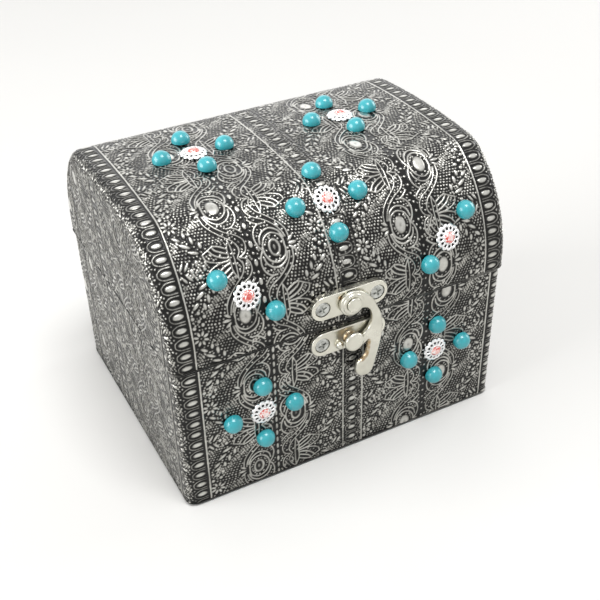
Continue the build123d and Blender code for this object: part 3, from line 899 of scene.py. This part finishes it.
def lid_end_sheet(name, node, side):
    """Arched end: columns of points up to the arch, inset by the rounded edge."""
    ay, az, ny, nz = arch(np.linspace(-half_run, half_run, 4000))
    ay, az = ay - ny * EDGE_ROUND, az - nz * EDGE_ROUND
    above = az > spring
    ay, az = ay[above], az[above]
    order = np.argsort(ay)
    half = half_lid_y - EDGE_ROUND
    ys = steps(-half, half, OTHER_STEP)
    tops = np.interp(ys, ay[order], az[order])
    tops[0] = tops[-1] = spring
    low = lid_bottom + FOLD
    verts, columns = [], []
    for y, top in zip(ys, tops):
        count = max(1, int((top - low) / OTHER_STEP - 0.5))
        zs = np.append(low + OTHER_STEP * np.arange(count), top)
        columns.append(range(len(verts), len(verts) + len(zs)))
        verts += [(y, z) for z in zs]
    flat = np.array(verts)
    y, z = flat.T
    height = dented(sheet_height(-side * y, -z, END_LAYOUT), y, z, SEED_LID_END)
    height = fade_to_fold(height, z - low)
    outer = np.stack([side * (half_lid_x - (1 - height) * RELIEF), y, z], -1)
    faces = []
    for a, b in zip(columns, columns[1:]):
        common = min(len(a), len(b))
        faces += [(a[i], b[i], b[i + 1], a[i + 1]) for i in range(common - 1)]
        faces += [(a[i], b[common - 1], a[i + 1]) for i in range(common - 1, len(a) - 1)]
        faces += [(a[common - 1], b[i], b[i + 1]) for i in range(common - 1, len(b) - 1)]
    rim = [c[0] for c in columns] + list(columns[-1][1:]) + [c[-1] for c in columns[-2::-1]]
    rim += list(columns[0][-2:0:-1])
    first, n = len(flat), len(rim)
    inner = np.array([(side * (half_lid_x - SHEET), *flat[i]) for i in rim])
    smooth = [True] * len(faces) + [False] * (n + 1)
    for i in range(n):
        j = (i + 1) % n
        faces.append((rim[j], rim[i], first + i, first + j))
    faces.append([first + i for i in range(n - 1, -1, -1)])
    if side < 0:
        faces = [tuple(f)[::-1] for f in faces]
    mesh = mesh_from(name, np.vstack([outer, inner]), faces, smooth)
    set_attribute(mesh, "relief", np.concatenate([height, np.zeros(n)]))
    add_piece(name, mesh, "embossed_sheet", "lid", node)


def halves(half):
    return ("left", (-half, 0)), ("right", (0, half))


for wall, *rest in (("front", -1, FRONT_STEP, 0), ("back", 1, OTHER_STEP, 1.5)):
    for label, ends in halves(base_half_q):
        base_sheet(f"base_{wall}_sheet_{label}", f"base_{wall}_cover", *ends, *rest)
for side, label in ((-1, "left"), (1, "right")):
    base_end_sheet(f"base_{label}_sheet", f"base_{label}_cover", side)
for part, *rest in (("front", 0, edge_run, FRONT_STEP), ("rear", -edge_run, 0, OTHER_STEP)):
    for label, ends in halves(lid_half_q):
        lid_sheet(f"lid_{part}_sheet_{label}", *ends, *rest)
for side, label in ((-1, "left"), (1, "right")):
    lid_end_sheet(f"lid_{label}_sheet", f"lid_{label}_cover", side)

# ---------------------------------------------------------------- Folded rims
NICK = 0.08
UNDER_RIM = 0.15
RIM_LEVEL, RIM_SWING, RIM_LUMPS = 0.3, 0.3, 1.6
CORNER_STEPS = 12


def rounded_rectangle(half_x, half_y, radius, inset):
    """Points round a rounded rectangle moved in by inset, square past the radius."""
    left = max(radius - inset, 0.0)
    points = []
    for sx, sy, start in ((1, 1, 0), (-1, 1, 90), (-1, -1, 180), (1, -1, 270)):
        cx = sx * (half_x - max(radius, inset))
        cy = sy * (half_y - max(radius, inset))
        for k in range(CORNER_STEPS + 1):
            dx, dy = polar(left, math.radians(start + 90 / CORNER_STEPS * k))
            points.append((cx + dx, cy + dy))
    return points


def folded_rim(name, body, nodes, half_x, half_y, edge_z, up):
    """The sheet's fold round an edge and its lip over the board; up is 1 for an upper edge."""
    turns = np.radians((22, 45, 68, 90))
    fold = [(FOLD * (1 - math.cos(a)), -FOLD * (1 - math.sin(a))) for a in turns]
    under = -FOLD - UNDER_RIM
    section = [(0.0, -FOLD), *fold, (LIP - NICK, 0.0), (LIP, -NICK), (LIP, -SHEET)]
    section += [(SHEET, -SHEET), (SHEET, under), (0.05, under)]
    verts = np.array([
        (x, y, edge_z + up * dz)
        for inset, dz in section
        for x, y in rounded_rectangle(half_x, half_y, EDGE_ROUND, inset)
    ])
    count = len(verts) // len(section)
    faces = []
    for a, b in following(list(range(0, len(verts), count))):
        faces += [quad[::up] for quad in band(a, b, count)]
    mesh = mesh_from(name, verts, faces, False)
    face_outward(mesh, merge=True)
    co = np.zeros(len(mesh.vertices) * 3)
    mesh.vertices.foreach_get("co", co)
    x, y, _ = co.reshape(-1, 3).T / MM
    lumps = value_noise(x, y, RIM_LUMPS, SEED_RIM)
    set_attribute(mesh, "relief", RIM_LEVEL + RIM_SWING * lumps)
    add_piece(name, mesh, "embossed_sheet", body, *nodes)


base_covers = [f"base_{side}_cover" for side in ("front", "back", "left", "right")]
lid_covers = ["lid_top_cover", "lid_left_cover", "lid_right_cover"]
folded_rim("base_upper_rim", "base", base_covers, half_base_x, half_base_y, base_top, 1)
folded_rim("base_lower_rim", "base", base_covers, half_base_x, half_base_y, base_bottom, -1)
folded_rim("lid_rim", "lid", lid_covers, half_lid_x, half_lid_y, lid_bottom, -1)

# ---------------------------------------------------------------- Lining, pad and felt
THIN_SHARE, ROUND_REACH = 0.45, 1.2
WALL_STEP, PAD_STEP, ARCH_STEP, DOME_STEP, PANEL_STEP = 1.6, 1.5, 1.2, 1.6, 1.4
PAD_EDGE, PAD_SHARE, PAD_MIDDLE, PAD_CROWN = 2.2, 0.35, 0.78, 0.16
LINING_GAP = 0.1
LINING_START, PANEL_GAP = 0.12, 0.05
WALL_PUFF, DOME_PUFF, PANEL_PUFF = 0.12, 0.14, 0.12
FELT_GAP, FELT_STEP, FELT_RAG, FELT_EDGE, FELT_BEVEL = 0.05, 1.5, 0.0006, 0.12, 0.25
well_low, well_high = box_mm("base_wall_lining")
pad_low, pad_high = box_mm("base_floor_pad")


def velvet_piece(name, verts, faces, body, node):
    mesh = mesh_from(name, verts, faces, True)
    face_outward(mesh)
    return add_piece(name, mesh, "velvet", body, node)


def closed_grid(name, top, bottom, body, node):
    """Closed velvet piece between two grids of points, shape (rows, columns, 3), top outward."""
    rows, cols, _ = top.shape
    ids, quads = grid_faces(rows, cols)
    under = rows * cols
    faces = list(quads) + list(quads[:, ::-1] + under)
    border = list(ids[0]) + list(ids[1:, -1]) + list(ids[-1, -2::-1]) + list(ids[-2:0:-1, 0])
    faces += [(b, a, a + under, b + under) for a, b in following(border)]
    verts = np.vstack([top.reshape(-1, 3), bottom.reshape(-1, 3)])
    return velvet_piece(name, verts, faces, body, node)


def rounded_top(distance):
    """Share of the velvet's thickness at a distance from its open edge."""
    return THIN_SHARE + (1 - THIN_SHARE) * np.clip(distance / ROUND_REACH, 0, 1) ** 0.5


def wall_lining():
    """Velvet band glued round the inside of the base, rounded where it turns each corner."""
    half_x, half_y = well_high[:2]
    outer, inner = (
        np.array(rounded_rectangle(half_x, half_y, WELL_CORNER, inset)) for inset in (0.0, LINING)
    )
    pieces = []
    for i, length in enumerate(np.hypot(*(np.roll(outer, -1, 0) - outer).T)):
        j = (i + 1) % len(outer)
        count = max(1, int(length / WALL_STEP))
        for t in np.arange(count) / count:
            pieces.append([ring[i] * (1 - t) + ring[j] * t for ring in (outer, inner)])
    o, w = np.array(pieces + pieces[:1]).transpose(1, 0, 2)
    top = well_high[2] - LINING_GAP
    far = np.concatenate([[0], np.cumsum(np.hypot(*np.diff(o, axis=0).T))])
    q, z = np.meshgrid(far, steps(well_low[2], top, WALL_STEP))
    swell = WALL_PUFF * puff(q, z, 7.0, SEED_WALL)
    swell[:, -1] = swell[:, 0]
    into = (w - o) / np.maximum(np.linalg.norm(w - o, axis=1), 1e-6)[:, None]
    depth = (LINING - swell) * rounded_top(top - z)
    xy = o[None] + into[None] * depth[..., None]
    face = np.dstack([xy, z])[:, :-1]
    back = np.dstack([np.broadcast_to(o, xy.shape), z])[:, :-1]
    rows, cols, _ = face.shape
    under = rows * cols
    last = under - cols
    faces = [quad for a in range(0, last, cols) for quad in band(a, a + cols, cols)]
    faces += [tuple(under + i for i in quad[::-1]) for quad in faces]
    faces += band(0, under, cols) + [quad[::-1] for quad in band(last, under + last, cols)]
    verts = np.vstack([face.reshape(-1, 3), back.reshape(-1, 3)])
    obj = velvet_piece("base_velvet_walls", verts, faces, "base", "base_wall_lining")
    length = 2 * (2 * half_x + 2 * half_y) - 8 * WELL_CORNER + 2 * math.pi * WELL_CORNER


def floor_pad():
    """Thin foam pad under velvet, crowned in the middle and pulled down round its edge."""
    half_x, half_y = pad_high[:2] - LINING_GAP
    x, y = np.meshgrid(steps(-half_x, half_x, PAD_STEP), steps(-half_y, half_y, PAD_STEP))
    edge = np.minimum(half_x - np.abs(x), half_y - np.abs(y))
    crown = 1 - (1 - np.clip(edge / PAD_EDGE, 0, 1)) ** 2
    thick = pad_high[2] - pad_low[2]
    swell = PAD_MIDDLE + PAD_CROWN * (1 - (x / half_x) ** 2) * (1 - (y / half_y) ** 2)
    z = pad_low[2] + thick * (PAD_SHARE + (swell - PAD_SHARE) * crown)
    z += 0.1 * value_noise(x, y, 9.0, SEED_PAD) * crown
    top = np.stack([x, y, z], -1)
    bottom = np.stack([x, y, np.full_like(z, pad_low[2] + CLEAR)], -1)
    obj = closed_grid("base_floor_cushion", top, bottom, "base", "base_floor_pad")


def lid_lining():
    """Velvet inside the dome: one strip from rim to rim and a panel on each arched end."""
    half_x = box_mm("lid_lining")[1][0]
    inset = SHEET + LID_BOARD
    bottom = lid_bottom + LINING_START
    runs = steps(-half_run, half_run, ARCH_STEP)
    ay, az, ny, nz = arch(runs)
    keep = az - nz * inset > bottom
    ay, az, ny, nz, runs = (values[keep, None] for values in (ay, az, ny, nz, runs))
    q, r = np.meshgrid(steps(-half_x + CLEAR, half_x - CLEAR, DOME_STEP), runs)
    thick = LINING - DOME_PUFF * puff(q, r, 8.0, SEED_DOME)
    deep = inset + thick * rounded_top(edge_run - FOLD - np.abs(r))

    def at(depth):
        return ay - ny * depth, az - nz * depth

    face = np.stack([q, *at(deep)], -1)
    back = np.stack([q, *(values + 0 * q for values in at(inset + CLEAR))], -1)
    obj = closed_grid("lid_velvet_dome", face, back, "lid", "lid_lining")
    inner_y, inner_z = (values[:, 0] for values in at(inset + LINING + PANEL_GAP))
    order = np.argsort(inner_y)
    ys = steps(inner_y.min() + CLEAR, inner_y.max() - CLEAR, PANEL_STEP)
    tops = np.interp(ys, inner_y[order], inner_z[order])
    z = bottom + (tops[None, :] - bottom) * np.linspace(0, 1, 26)[:, None]
    y = np.broadcast_to(ys, z.shape)
    thick = LINING - PANEL_PUFF * puff(y, z, 8.0, SEED_PANEL)
    for side, label in ((-1, "left"), (1, "right")):
        face = np.stack([side * (half_x - thick), y, z], -1)
        back = np.stack([np.full_like(z, side * (half_x - CLEAR)), y, z], -1)
        obj = closed_grid(f"lid_velvet_{label}_end", face, back, "lid", "lid_lining")


def bottom_felt():
    low, high = box_mm("base_felt")
    ring = rounded_rectangle(high[0] - FELT_GAP, high[1] - FELT_GAP, EDGE_ROUND, 0.0)
    points = []
    for (x0, y0), (x1, y1) in following(ring):
        count = max(1, int(math.hypot(x1 - x0, y1 - y0) / FELT_STEP))
        points += [(x0 + (x1 - x0) * k / count, y0 + (y1 - y0) * k / count) for k in range(count)]
    n = len(points)
    outline = np.array(points) * (1 - np.abs(rng.normal(0, FELT_RAG, n)))[:, None]
    verts, faces = [], []
    for z, shrink in ((high[2], 0.0), (FELT_EDGE, 0.0), (low[2], FELT_BEVEL)):
        verts += [(*(v - math.copysign(shrink, v) for v in point), z) for point in outline]
    for a in (0, n):
        faces += [quad[:1] + quad[:0:-1] for quad in band(a, a + n, n)]
    faces += [list(range(n)), list(range(3 * n - 1, 2 * n - 1, -1))]
    mesh = mesh_from("base_felt_sheet", np.array(verts), faces, False)
    obj = add_piece("base_felt_sheet", mesh, "felt", "base", "base_felt")


wall_lining()
floor_pad()
lid_lining()
bottom_felt()

# ---------------------------------------------------------------- Caps, stones and latch
STONE_TALL, TABLE_DEPTH = 1.7, 0.25
LOBES = 13
CAP_THICK, CAP_DOME, CAP_RIB, CAP_BEAD, CAP_ROLL, CAP_SCALLOP = 0.34, 0.62, 0.14, 0.2, 0.12, 0.75
COLLAR_SIDES, COLLAR_NOTCH = 52, 0.035
TURNED_SIDES, BOSS_SIDES, STOP_SIDES = 56, 72, 40


class Build:
    """Collects closed shells in millimetres, in a piece's own axes, and makes one mesh of them."""

    def __init__(self):
        self.verts, self.faces, self.smooth, self.bare, self.facet_glint = [], [], [], [], []

    def add(self, verts, faces, smooth=True, bare=0.0):
        first = len(self.verts)
        self.verts += [tuple(v) for v in verts]
        self.faces += [tuple(first + i for i in f) for f in faces]
        self.smooth += [smooth] * len(faces)
        # The share of painted brown shade and reflection at each point.
        bare = bare if hasattr(bare, "__len__") else [bare] * len(verts)
        self.bare += list(bare)

    def lathe(self, profile, segments, wave=None):
        """Turns (radius, height) points about Z, with wave(angle) scaling the radii.
        A radius of 0 closes the end."""
        rows, verts, faces = [], [], []
        for radius, height in profile:
            if radius <= 0:
                rows.append([len(verts)] * segments)
                verts.append((0, 0, height))
                continue
            rows.append(list(range(len(verts), len(verts) + segments)))
            for k in range(segments):
                a = 2 * math.pi * k / segments
                verts.append((*polar(radius * (wave(a) if wave else 1), a), height))
        for low, high in zip(rows, rows[1:]):
            for k in range(segments):
                j = (k + 1) % segments
                ring = list(dict.fromkeys((low[k], low[j], high[j], high[k])))
                if len(ring) > 2:
                    faces.append(ring)
        self.add(verts, faces)
        return self

    def piece(self, name, slot, place, body, node):
        """Makes the piece at a place, which is an origin and three axes."""
        origin, axes = place
        points = np.array(self.verts) @ np.array(axes) + np.array(origin)
        mesh = mesh_from(name, points, self.faces, self.smooth)
        # Painted brown shade and reflection per point, and painted glints per facet below.
        set_attribute(mesh, "bare", self.bare)
        if len(self.facet_glint):
            set_attribute(mesh, "facet_glint", self.facet_glint, "FACE")
        face_outward(mesh)
        return add_piece(name, mesh, slot, body, node)


def islands(node):
    """The separate solids of a CAD node, each an array of points in millimetres."""
    work = bmesh.new()
    work.from_mesh(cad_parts[node].data)
    bmesh.ops.remove_doubles(work, verts=work.verts, dist=1e-6)
    left, found = set(work.verts), []
    while left:
        group, edge = set(), [left.pop()]
        while edge:
            vert = edge.pop()
            group.add(vert)
            near = [e.other_vert(vert) for e in vert.link_edges]
            edge += [v for v in near if v in left]
            left -= set(near)
        found.append(np.array(sorted(v.co[:] for v in group)) / MM)
    work.free()
    return found


def stone_places(caps, stones):
    """Where each cap stands: the point on the sheet under its stone's flat top, and its axes."""
    cap_centres = [points.mean(0) for points in islands(caps)]
    places = []
    for points in islands(stones):
        centre = points.mean(0)
        cap = min(cap_centres, key=lambda c: np.linalg.norm(c - centre))
        normal = (centre - cap) / np.linalg.norm(centre - cap)
        for _ in range(3):
            heights = (points - centre) @ normal
            table = points[heights > heights.max() - TABLE_DEPTH]
            flat = np.linalg.svd(table - table.mean(0))[2][2]
            normal = flat * np.sign(flat @ normal)
        axis_x = np.array([1.0, 0, 0]) - normal * normal[0]
        axis_x /= np.linalg.norm(axis_x)
        origin = table.mean(0) - normal * STONE_TALL
        places.append((origin, (axis_x, np.cross(normal, axis_x), normal)))
    return sorted(places, key=lambda p: (round(p[0][0]), round(p[0][2]), round(p[0][1])))


def pierced_cap(spur):
    """Domed filigree: slots between ribs, a scalloped rim and a notched collar for the stone."""
    build = Build()
    per_lobe = 8
    columns = LOBES * per_lobe
    rows = (1.62, 1.95, 2.2, 2.45, 2.75, 3.0, 3.2, 3.45, 3.75, 4.05)
    outer, last = rows[-1], len(rows) - 1
    slot_rows, slot_columns = (2, 3, 4), (2, 3, 4, 5)
    top, low = [], []
    for j, radius in enumerate(rows):
        for k in range(columns):
            a = 2 * math.pi * k / columns
            t = (k % per_lobe) / per_lobe
            lobe = math.sqrt(max(0.0, 1 - (2 * t - 1) ** 2 * 0.96))
            r = radius - max(0, j - 5) / 4 * CAP_SCALLOP * (1 - lobe)
            rib = CAP_RIB if t in (0.0, 0.125, 0.875) else 0.0
            bead = CAP_BEAD * lobe if 6 <= j <= 8 else 0.0
            dome = CAP_THICK + CAP_DOME * (1 - (radius / outer) ** 2)
            edge = -CAP_ROLL if j == last else 0.0
            top.append((*polar(r, a), dome + rib + bead + edge))
            low.append((*polar(r, a), max(dome - CAP_THICK, 0.0) if j < last else 0.08))
    kept = {
        (j, k)
        for j in range(last)
        for k in range(columns)
        if not (j in slot_rows and k % per_lobe in slot_columns)
    }
    n = len(top)
    faces = []
    for j, k in sorted(kept):
        m = (k + 1) % columns
        a, b = j * columns + k, j * columns + m
        c, d = b + columns, a + columns
        faces += [(a, d, c, b), (a + n, b + n, c + n, d + n)]
        sides = (
            ((j - 1, k), a, b), ((j + 1, k), c, d), ((j, (k - 1) % columns), d, a), ((j, m), b, c),
        )
        for near, p, q in sides:
            if near not in kept:
                faces.append((p, q, q + n, p + n))
    build.add(top + low, faces)
    collar = [(1.6, 0.5), (2.04, 0.5), (2.08, 0.95), (2.0, 1.16), (1.84, 1.2), (1.66, 1.05)]
    notches = lambda a: 1 + COLLAR_NOTCH * math.cos(LOBES * a)
    build.lathe(collar + collar[:1], COLLAR_SIDES, notches)
    for angle in (spur, spur + 0.35):
        c, s = math.cos(angle), math.sin(angle)
        verts = []
        for r, half in ((3.7, 0.2), (4.9, 0.13)):
            for du, dz in ((-half, 0.05), (half, 0.05), (half, 0.33), (-half, 0.33)):
                verts.append((r * c - du * s, r * s + du * c, dz))
        sides = [(i, i + 4, (i + 1) % 4 + 4, (i + 1) % 4) for i in range(4)]
        build.add(verts, [(0, 1, 2, 3), (7, 6, 5, 4), *sides])
    return build


def cut_stone():
    """Round stone with a table, eight star facets and sixteen girdle facets."""
    verts, faces = [(0, 0, 0.62)], []
    for count, radius, height, turn in (
        (16, 1.72, 0.95, 0), (16, 1.7, 1.12, 0), (8, 1.3, 1.5, 0.5), (8, 0.85, STONE_TALL, 0),
    ):
        for k in range(count):
            verts.append((*polar(radius, 2 * math.pi * (k + turn) / count), height))
    low, girdle, star, table = 1, 17, 33, 41
    for k in range(16):
        j = (k + 1) % 16
        faces += [(0, low + j, low + k), (low + k, low + j, girdle + j, girdle + k)]
    for k in range(8):
        j = (k + 1) % 8
        a, b = star + k, star + j
        left, middle, right = (girdle + (2 * k + i) % 16 for i in range(3))
        faces += [(left, middle, a), (middle, right, a), (right, b, a)]
        faces += [(a, b, table + j), (a, table + j, table + k)]
    faces.append(tuple(table + k for k in range(8)))
    build = Build()
    build.add(verts, faces, smooth=False)
    # Painted glint: each facet's random brightness, from deep red to near white.
    build.facet_glint = rng.uniform(0, 1, len(faces)) ** 1.2
    return build


def set_stones(body):
    caps, stones = f"{body}_pierced_caps", f"{body}_rhinestones"
    for index, place in enumerate(stone_places(caps, stones)):
        cap = pierced_cap(0.6 + 1.9 * index)
        obj = cap.piece(f"{body}_cap_{index + 1}", "bright_cap", place, body, caps)
        obj.modifiers.new("round", "SUBSURF").levels = 1
        obj.modifiers["round"].render_levels = 1
        cut_stone().piece(f"{body}_stone_{index + 1}", "pink_stone", place, body, stones)


set_stones("base")
set_stones("lid")

upper_low, upper_high = box_mm("latch_upper_plate")
lower_low, lower_high = box_mm("latch_lower_plate")
hook_low, stud_low = box_mm("latch_hook")[0], box_mm("latch_stud")[0]
stop_low, stop_high = box_mm("latch_stop")
stop_x, _, stop_z = (stop_low + stop_high) / 2
latch_x, _, upper_z = (upper_low + upper_high) / 2
lower_z = (lower_low[2] + lower_high[2]) / 2
span = upper_z - lower_z
BOSS_RISE, HOOK_THICK, HOOK_BORE, RIVET_GAP = 0.4, 1.4, 1.28, 0.08
HOOK_STEP, HOOK_APART, BEVEL_WIDE, BEVEL_DEEP = 0.22, 0.12, 0.7, 0.35
hook_back_y = hook_low[1] + BOSS_RISE + HOOK_THICK

# Hook outline about the rivet, in parts of the distance between the plates, with the stretch
# whose edge is worn to a bevel apart; that bevel is painted brass-brown, a painted reflection
HOOK_OUTER = (
    (0.0, 0.312), (0.2, 0.262), (0.368, 0.136), (0.53, -0.05), (0.632, -0.264), (0.735, -0.5),
    (0.776, -0.752), (0.775, -1.0), (0.744, -1.264), (0.695, -1.5), (0.64, -1.696), (0.59, -1.88),
    (0.536, -2.032), (0.46, -2.125), (0.36, -2.152), (0.23, -2.125), (0.136, -2.048), (0.1, -1.95),
    (0.096, -1.856), (0.144, -1.704),
)
HOOK_BEVELLED = ((0.25, -1.66), (0.34, -1.585), (0.385, -1.45), (0.404, -1.3), (0.408, -1.168))
HOOK_INNER = (
    (0.33, -1.2), (0.256, -1.232), (0.15, -1.29), (0.072, -1.32), (0.02, -1.27), (0.02, -1.2),
    (0.144, -1.152), (0.216, -1.05), (0.32, -0.912), (0.42, -0.82), (0.475, -0.7), (0.496, -0.544),
    (0.47, -0.4), (0.4, -0.275), (0.3, -0.222), (0.2, -0.2), (0.0, -0.1),
)


def place_nickel(build, name, body, node, *origin):
    """A latch piece on the front: its X to the right, its Y up and its Z out of the front."""
    build.piece(name, "nickel", (origin, ((1, 0, 0), (0, 0, 1), (0, -1, 0))), body, node)


def swing_hook():
    marked = [
        (x * span, z * span, mark)
        for points, mark in ((HOOK_OUTER, 0.0), (HOOK_BEVELLED, 1.0), (HOOK_INNER, 0.0))
        for x, z in points
    ]
    path = smooth_path(marked, HOOK_STEP)
    keep = [0]
    for i in range(1, len(path)):
        if np.hypot(*(path[i, :2] - path[keep[-1], :2])) > HOOK_APART:
            keep.append(i)
    points, bevel = path[keep, :2], np.clip(path[keep, 2], 0, 1)
    tangent = np.roll(points, -1, 0) - np.roll(points, 1, 0)
    tangent /= np.linalg.norm(tangent, axis=1)[:, None]
    inward = np.stack([tangent[:, 1], -tangent[:, 0]], 1)
    for _ in range(4):
        inward = inward + 0.5 * (np.roll(inward, 1, 0) + np.roll(inward, -1, 0))
        inward /= np.linalg.norm(inward, axis=1)[:, None]
    n = len(points)
    rings, bare = [], []
    sides = ((0.15, 0.0), (0.0, 0.15), (0.0, 0.6), (0.12, 0.85), (0.3, 0.96), (0.5, 1.0))
    for depth, share in sides:
        wide = depth * (1 + BEVEL_WIDE * bevel)
        height = HOOK_THICK * (share - BEVEL_DEEP * bevel * (0.3 < share < 0.9))
        rings.append(np.column_stack([points + inward * wide[:, None], height]))
        # Painted reflection: the bevel's sides are marked for brass-brown colour.
        bare.append(bevel * (0.3 < share < 0.99))
    last = (len(rings) - 1) * n
    faces = [quad for k in range(0, last, n) for quad in band(k, k + n, n)]
    faces += [tuple(range(n)), tuple(range(last + n - 1, last - 1, -1))]
    build = Build()
    build.add(np.vstack(rings), faces, bare=np.concatenate(bare))
    bore, t, b = HOOK_BORE, HOOK_THICK, HOOK_THICK + BOSS_RISE
    boss = [
        (bore, 0.0), (3.75, 0.0), (3.9, 0.15), (3.9, t - 0.4), (3.78, t - 0.12), (3.5, t),
        (3.32, t - 0.02), (3.25, t + 0.08), (3.18, b - 0.14), (3.02, b), (2.45, b), (bore, b),
    ]
    build.lathe(boss + boss[:1], BOSS_SIDES)
    place_nickel(build, "latch_hook_arm", "latch_hook", "latch_hook", latch_x, hook_back_y, upper_z)


def latch_rivet():
    rise = upper_low[1] - hook_low[1] + RIVET_GAP
    profile = [
        (0, -1.0), (1.2, -1.0), (1.2, rise), (2.1, rise), (2.2, rise + 0.12), (2.2, rise + 0.3),
        (2.05, rise + 0.5), (1.8, rise + 0.58), (1.62, rise + 0.5), (1.2, rise + 0.56),
        (0, rise + 0.6),
    ]
    build = Build().lathe(profile, TURNED_SIDES)
    place_nickel(build, "latch_rivet_head", "lid", "latch_rivet", latch_x, upper_low[1], upper_z)


def latch_stud():
    top = lower_low[1] - stud_low[1]
    neck = top - 1.4
    profile = [
        (0, -0.9), (1.2, -0.9), (1.2, 0.0), (2.25, 0.0), (2.1, 0.3), (1.9, 0.5), (1.9, neck),
        (2.8, neck), (2.96, neck + 0.14), (3.0, neck + 0.4), (2.94, neck + 0.75),
        (2.72, neck + 1.08), (2.3, neck + 1.28), (1.6, neck + 1.37), (0.8, top - 0.01), (0, top),
    ]
    build = Build().lathe(profile, TURNED_SIDES)
    # Painted shade: the shank under the head is marked for brass-brown colour.
    build.bare = []
    for radius, height in profile:
        shank = 0.2 < height < neck + 0.01 and radius < 2.3
        build.bare += [float(shank)] * (TURNED_SIDES if radius > 0 else 1)
    place_nickel(build, "latch_stud_head", "base", "latch_stud", latch_x, lower_low[1], lower_z)


def latch_stop():
    tall = lower_low[1] - stop_low[1] + 0.3
    radius = (stop_high[0] - stop_low[0]) / 2 + 0.15
    angles = np.radians(range(-50, 90, 14))
    ball = [(radius * math.cos(a), tall - radius + radius * math.sin(a)) for a in angles]
    foot = [(0, -0.6), (0.5, -0.6), (0.5, 0.0), (ball[0][0] + 0.25, 0.0)]
    build = Build().lathe([*foot, *ball, (0, tall)], STOP_SIDES)
    place_nickel(build, "latch_stop_pip", "base", "latch_stop", stop_x, lower_low[1], stop_z)


swing_hook()
latch_rivet()
latch_stud()
latch_stop()

# ---------------------------------------------------------------- Room and camera
FLOOR_HALF = 3.0
WHITE_STRENGTH = 1.0


def make_floor():
    mesh = bpy.data.meshes.new("floor")
    corners = [(x * FLOOR_HALF, y * FLOOR_HALF, 0) for x, y in ((-1, -1), (1, -1), (1, 1), (-1, 1))]
    mesh.from_pydata(corners, [], [(0, 1, 2, 3)])
    s = Surface("floor")
    mottle = s.noise(3.0, 2.0)
    s.finish({
        "Base Color": s.ramp(mottle, (0.3, (0.74, 0.733, 0.715)), (0.7, (0.76, 0.754, 0.737))),
        "Roughness": 0.8,
        "Specular IOR Level": 0.1,
    })
    add_object("floor", mesh, "floor")


def area_light(name, place, aim, size, power):
    data = bpy.data.lights.new(name, "AREA")
    data.shape = "RECTANGLE"
    data.size, data.size_y = size
    data.energy = power
    light = bpy.data.objects.new(name, data)
    light.location = place
    light.rotation_euler = (Vector(aim) - Vector(place)).to_track_quat("-Z", "Y").to_euler()
    bpy.context.scene.collection.objects.link(light)


def make_world():
    """White to the camera and in reflections, and a softbox overhead for what lights the piece."""
    world = bpy.data.worlds.new("studio")
    bpy.context.scene.world = world
    world.use_nodes = True
    s = Shader(world.node_tree)
    toward = Vector((-0.25, 0.55, 0.8)).normalized()
    facing = s.vector("DOT_PRODUCT", s.add("TexCoord", {}).outputs["Generated"], toward)
    rays = s.add("LightPath", {}).outputs
    direct = s.math("MAXIMUM", rays["Is Camera Ray"], rays["Is Glossy Ray"])
    mix = s.add("Mix", {
        "Factor": s.math("MAXIMUM", direct, rays["Is Transmission Ray"]),
        "A": s.remap(facing, -0.5, 0.95, 0.06, 0.5, interpolation_type="SMOOTHSTEP"),
        "B": WHITE_STRENGTH,
    })
    s.feed(s.nodes["Background"], {"Color": (1, 1, 1, 1), "Strength": mix.outputs["Result"]})


make_floor()
area_light("key", (-0.1, 0.1, 1.0), (0, 0, 0.04), (0.8, 0.8), 0.4)
area_light("back", (0.35, 0.9, 0.6), (0, 0, 0.05), (1.1, 0.6), 2.2)
area_light("front", (0.03, -0.28, 0.94), (-0.02, 0, 0.06), (0.36, 0.36), 6.0)
area_light("left", (-0.96, 0.12, 0.36), (0, 0, 0.04), (0.8, 0.5), 9.4)
area_light("right", (1.0, 0.1, 0.35), (0, 0, 0.04), (0.5, 0.5), 3.8)
make_world()

AZIMUTH, ELEVATION, ROLL = map(math.radians, (-27.0281, 35.2454, -1.5815))
TARGET = Vector((3.774, -5.7772, 30.7229)) * MM
DISTANCE = 313.84 * MM
backward = Vector((
    math.sin(AZIMUTH) * math.cos(ELEVATION),
    -math.cos(AZIMUTH) * math.cos(ELEVATION),
    math.sin(ELEVATION),
))
level = Vector((0, 0, 1)).cross(backward).normalized()
upward = backward.cross(level)
turn = Matrix.Rotation(ROLL, 3, backward)
right, up = turn @ level, turn @ upward
camera_data = bpy.data.cameras.new("camera")
camera_data.lens = 58.964
camera_data.sensor_width = 36.0
camera_data.clip_start = 0.01
camera = bpy.data.objects.new("camera", camera_data)
rotation = Matrix((right, up, backward)).transposed().to_4x4()
camera.matrix_world = Matrix.Translation(TARGET + backward * DISTANCE) @ rotation
bpy.context.scene.collection.objects.link(camera)
bpy.context.scene.camera = camera
bpy.context.scene.view_settings.view_transform = "Standard"
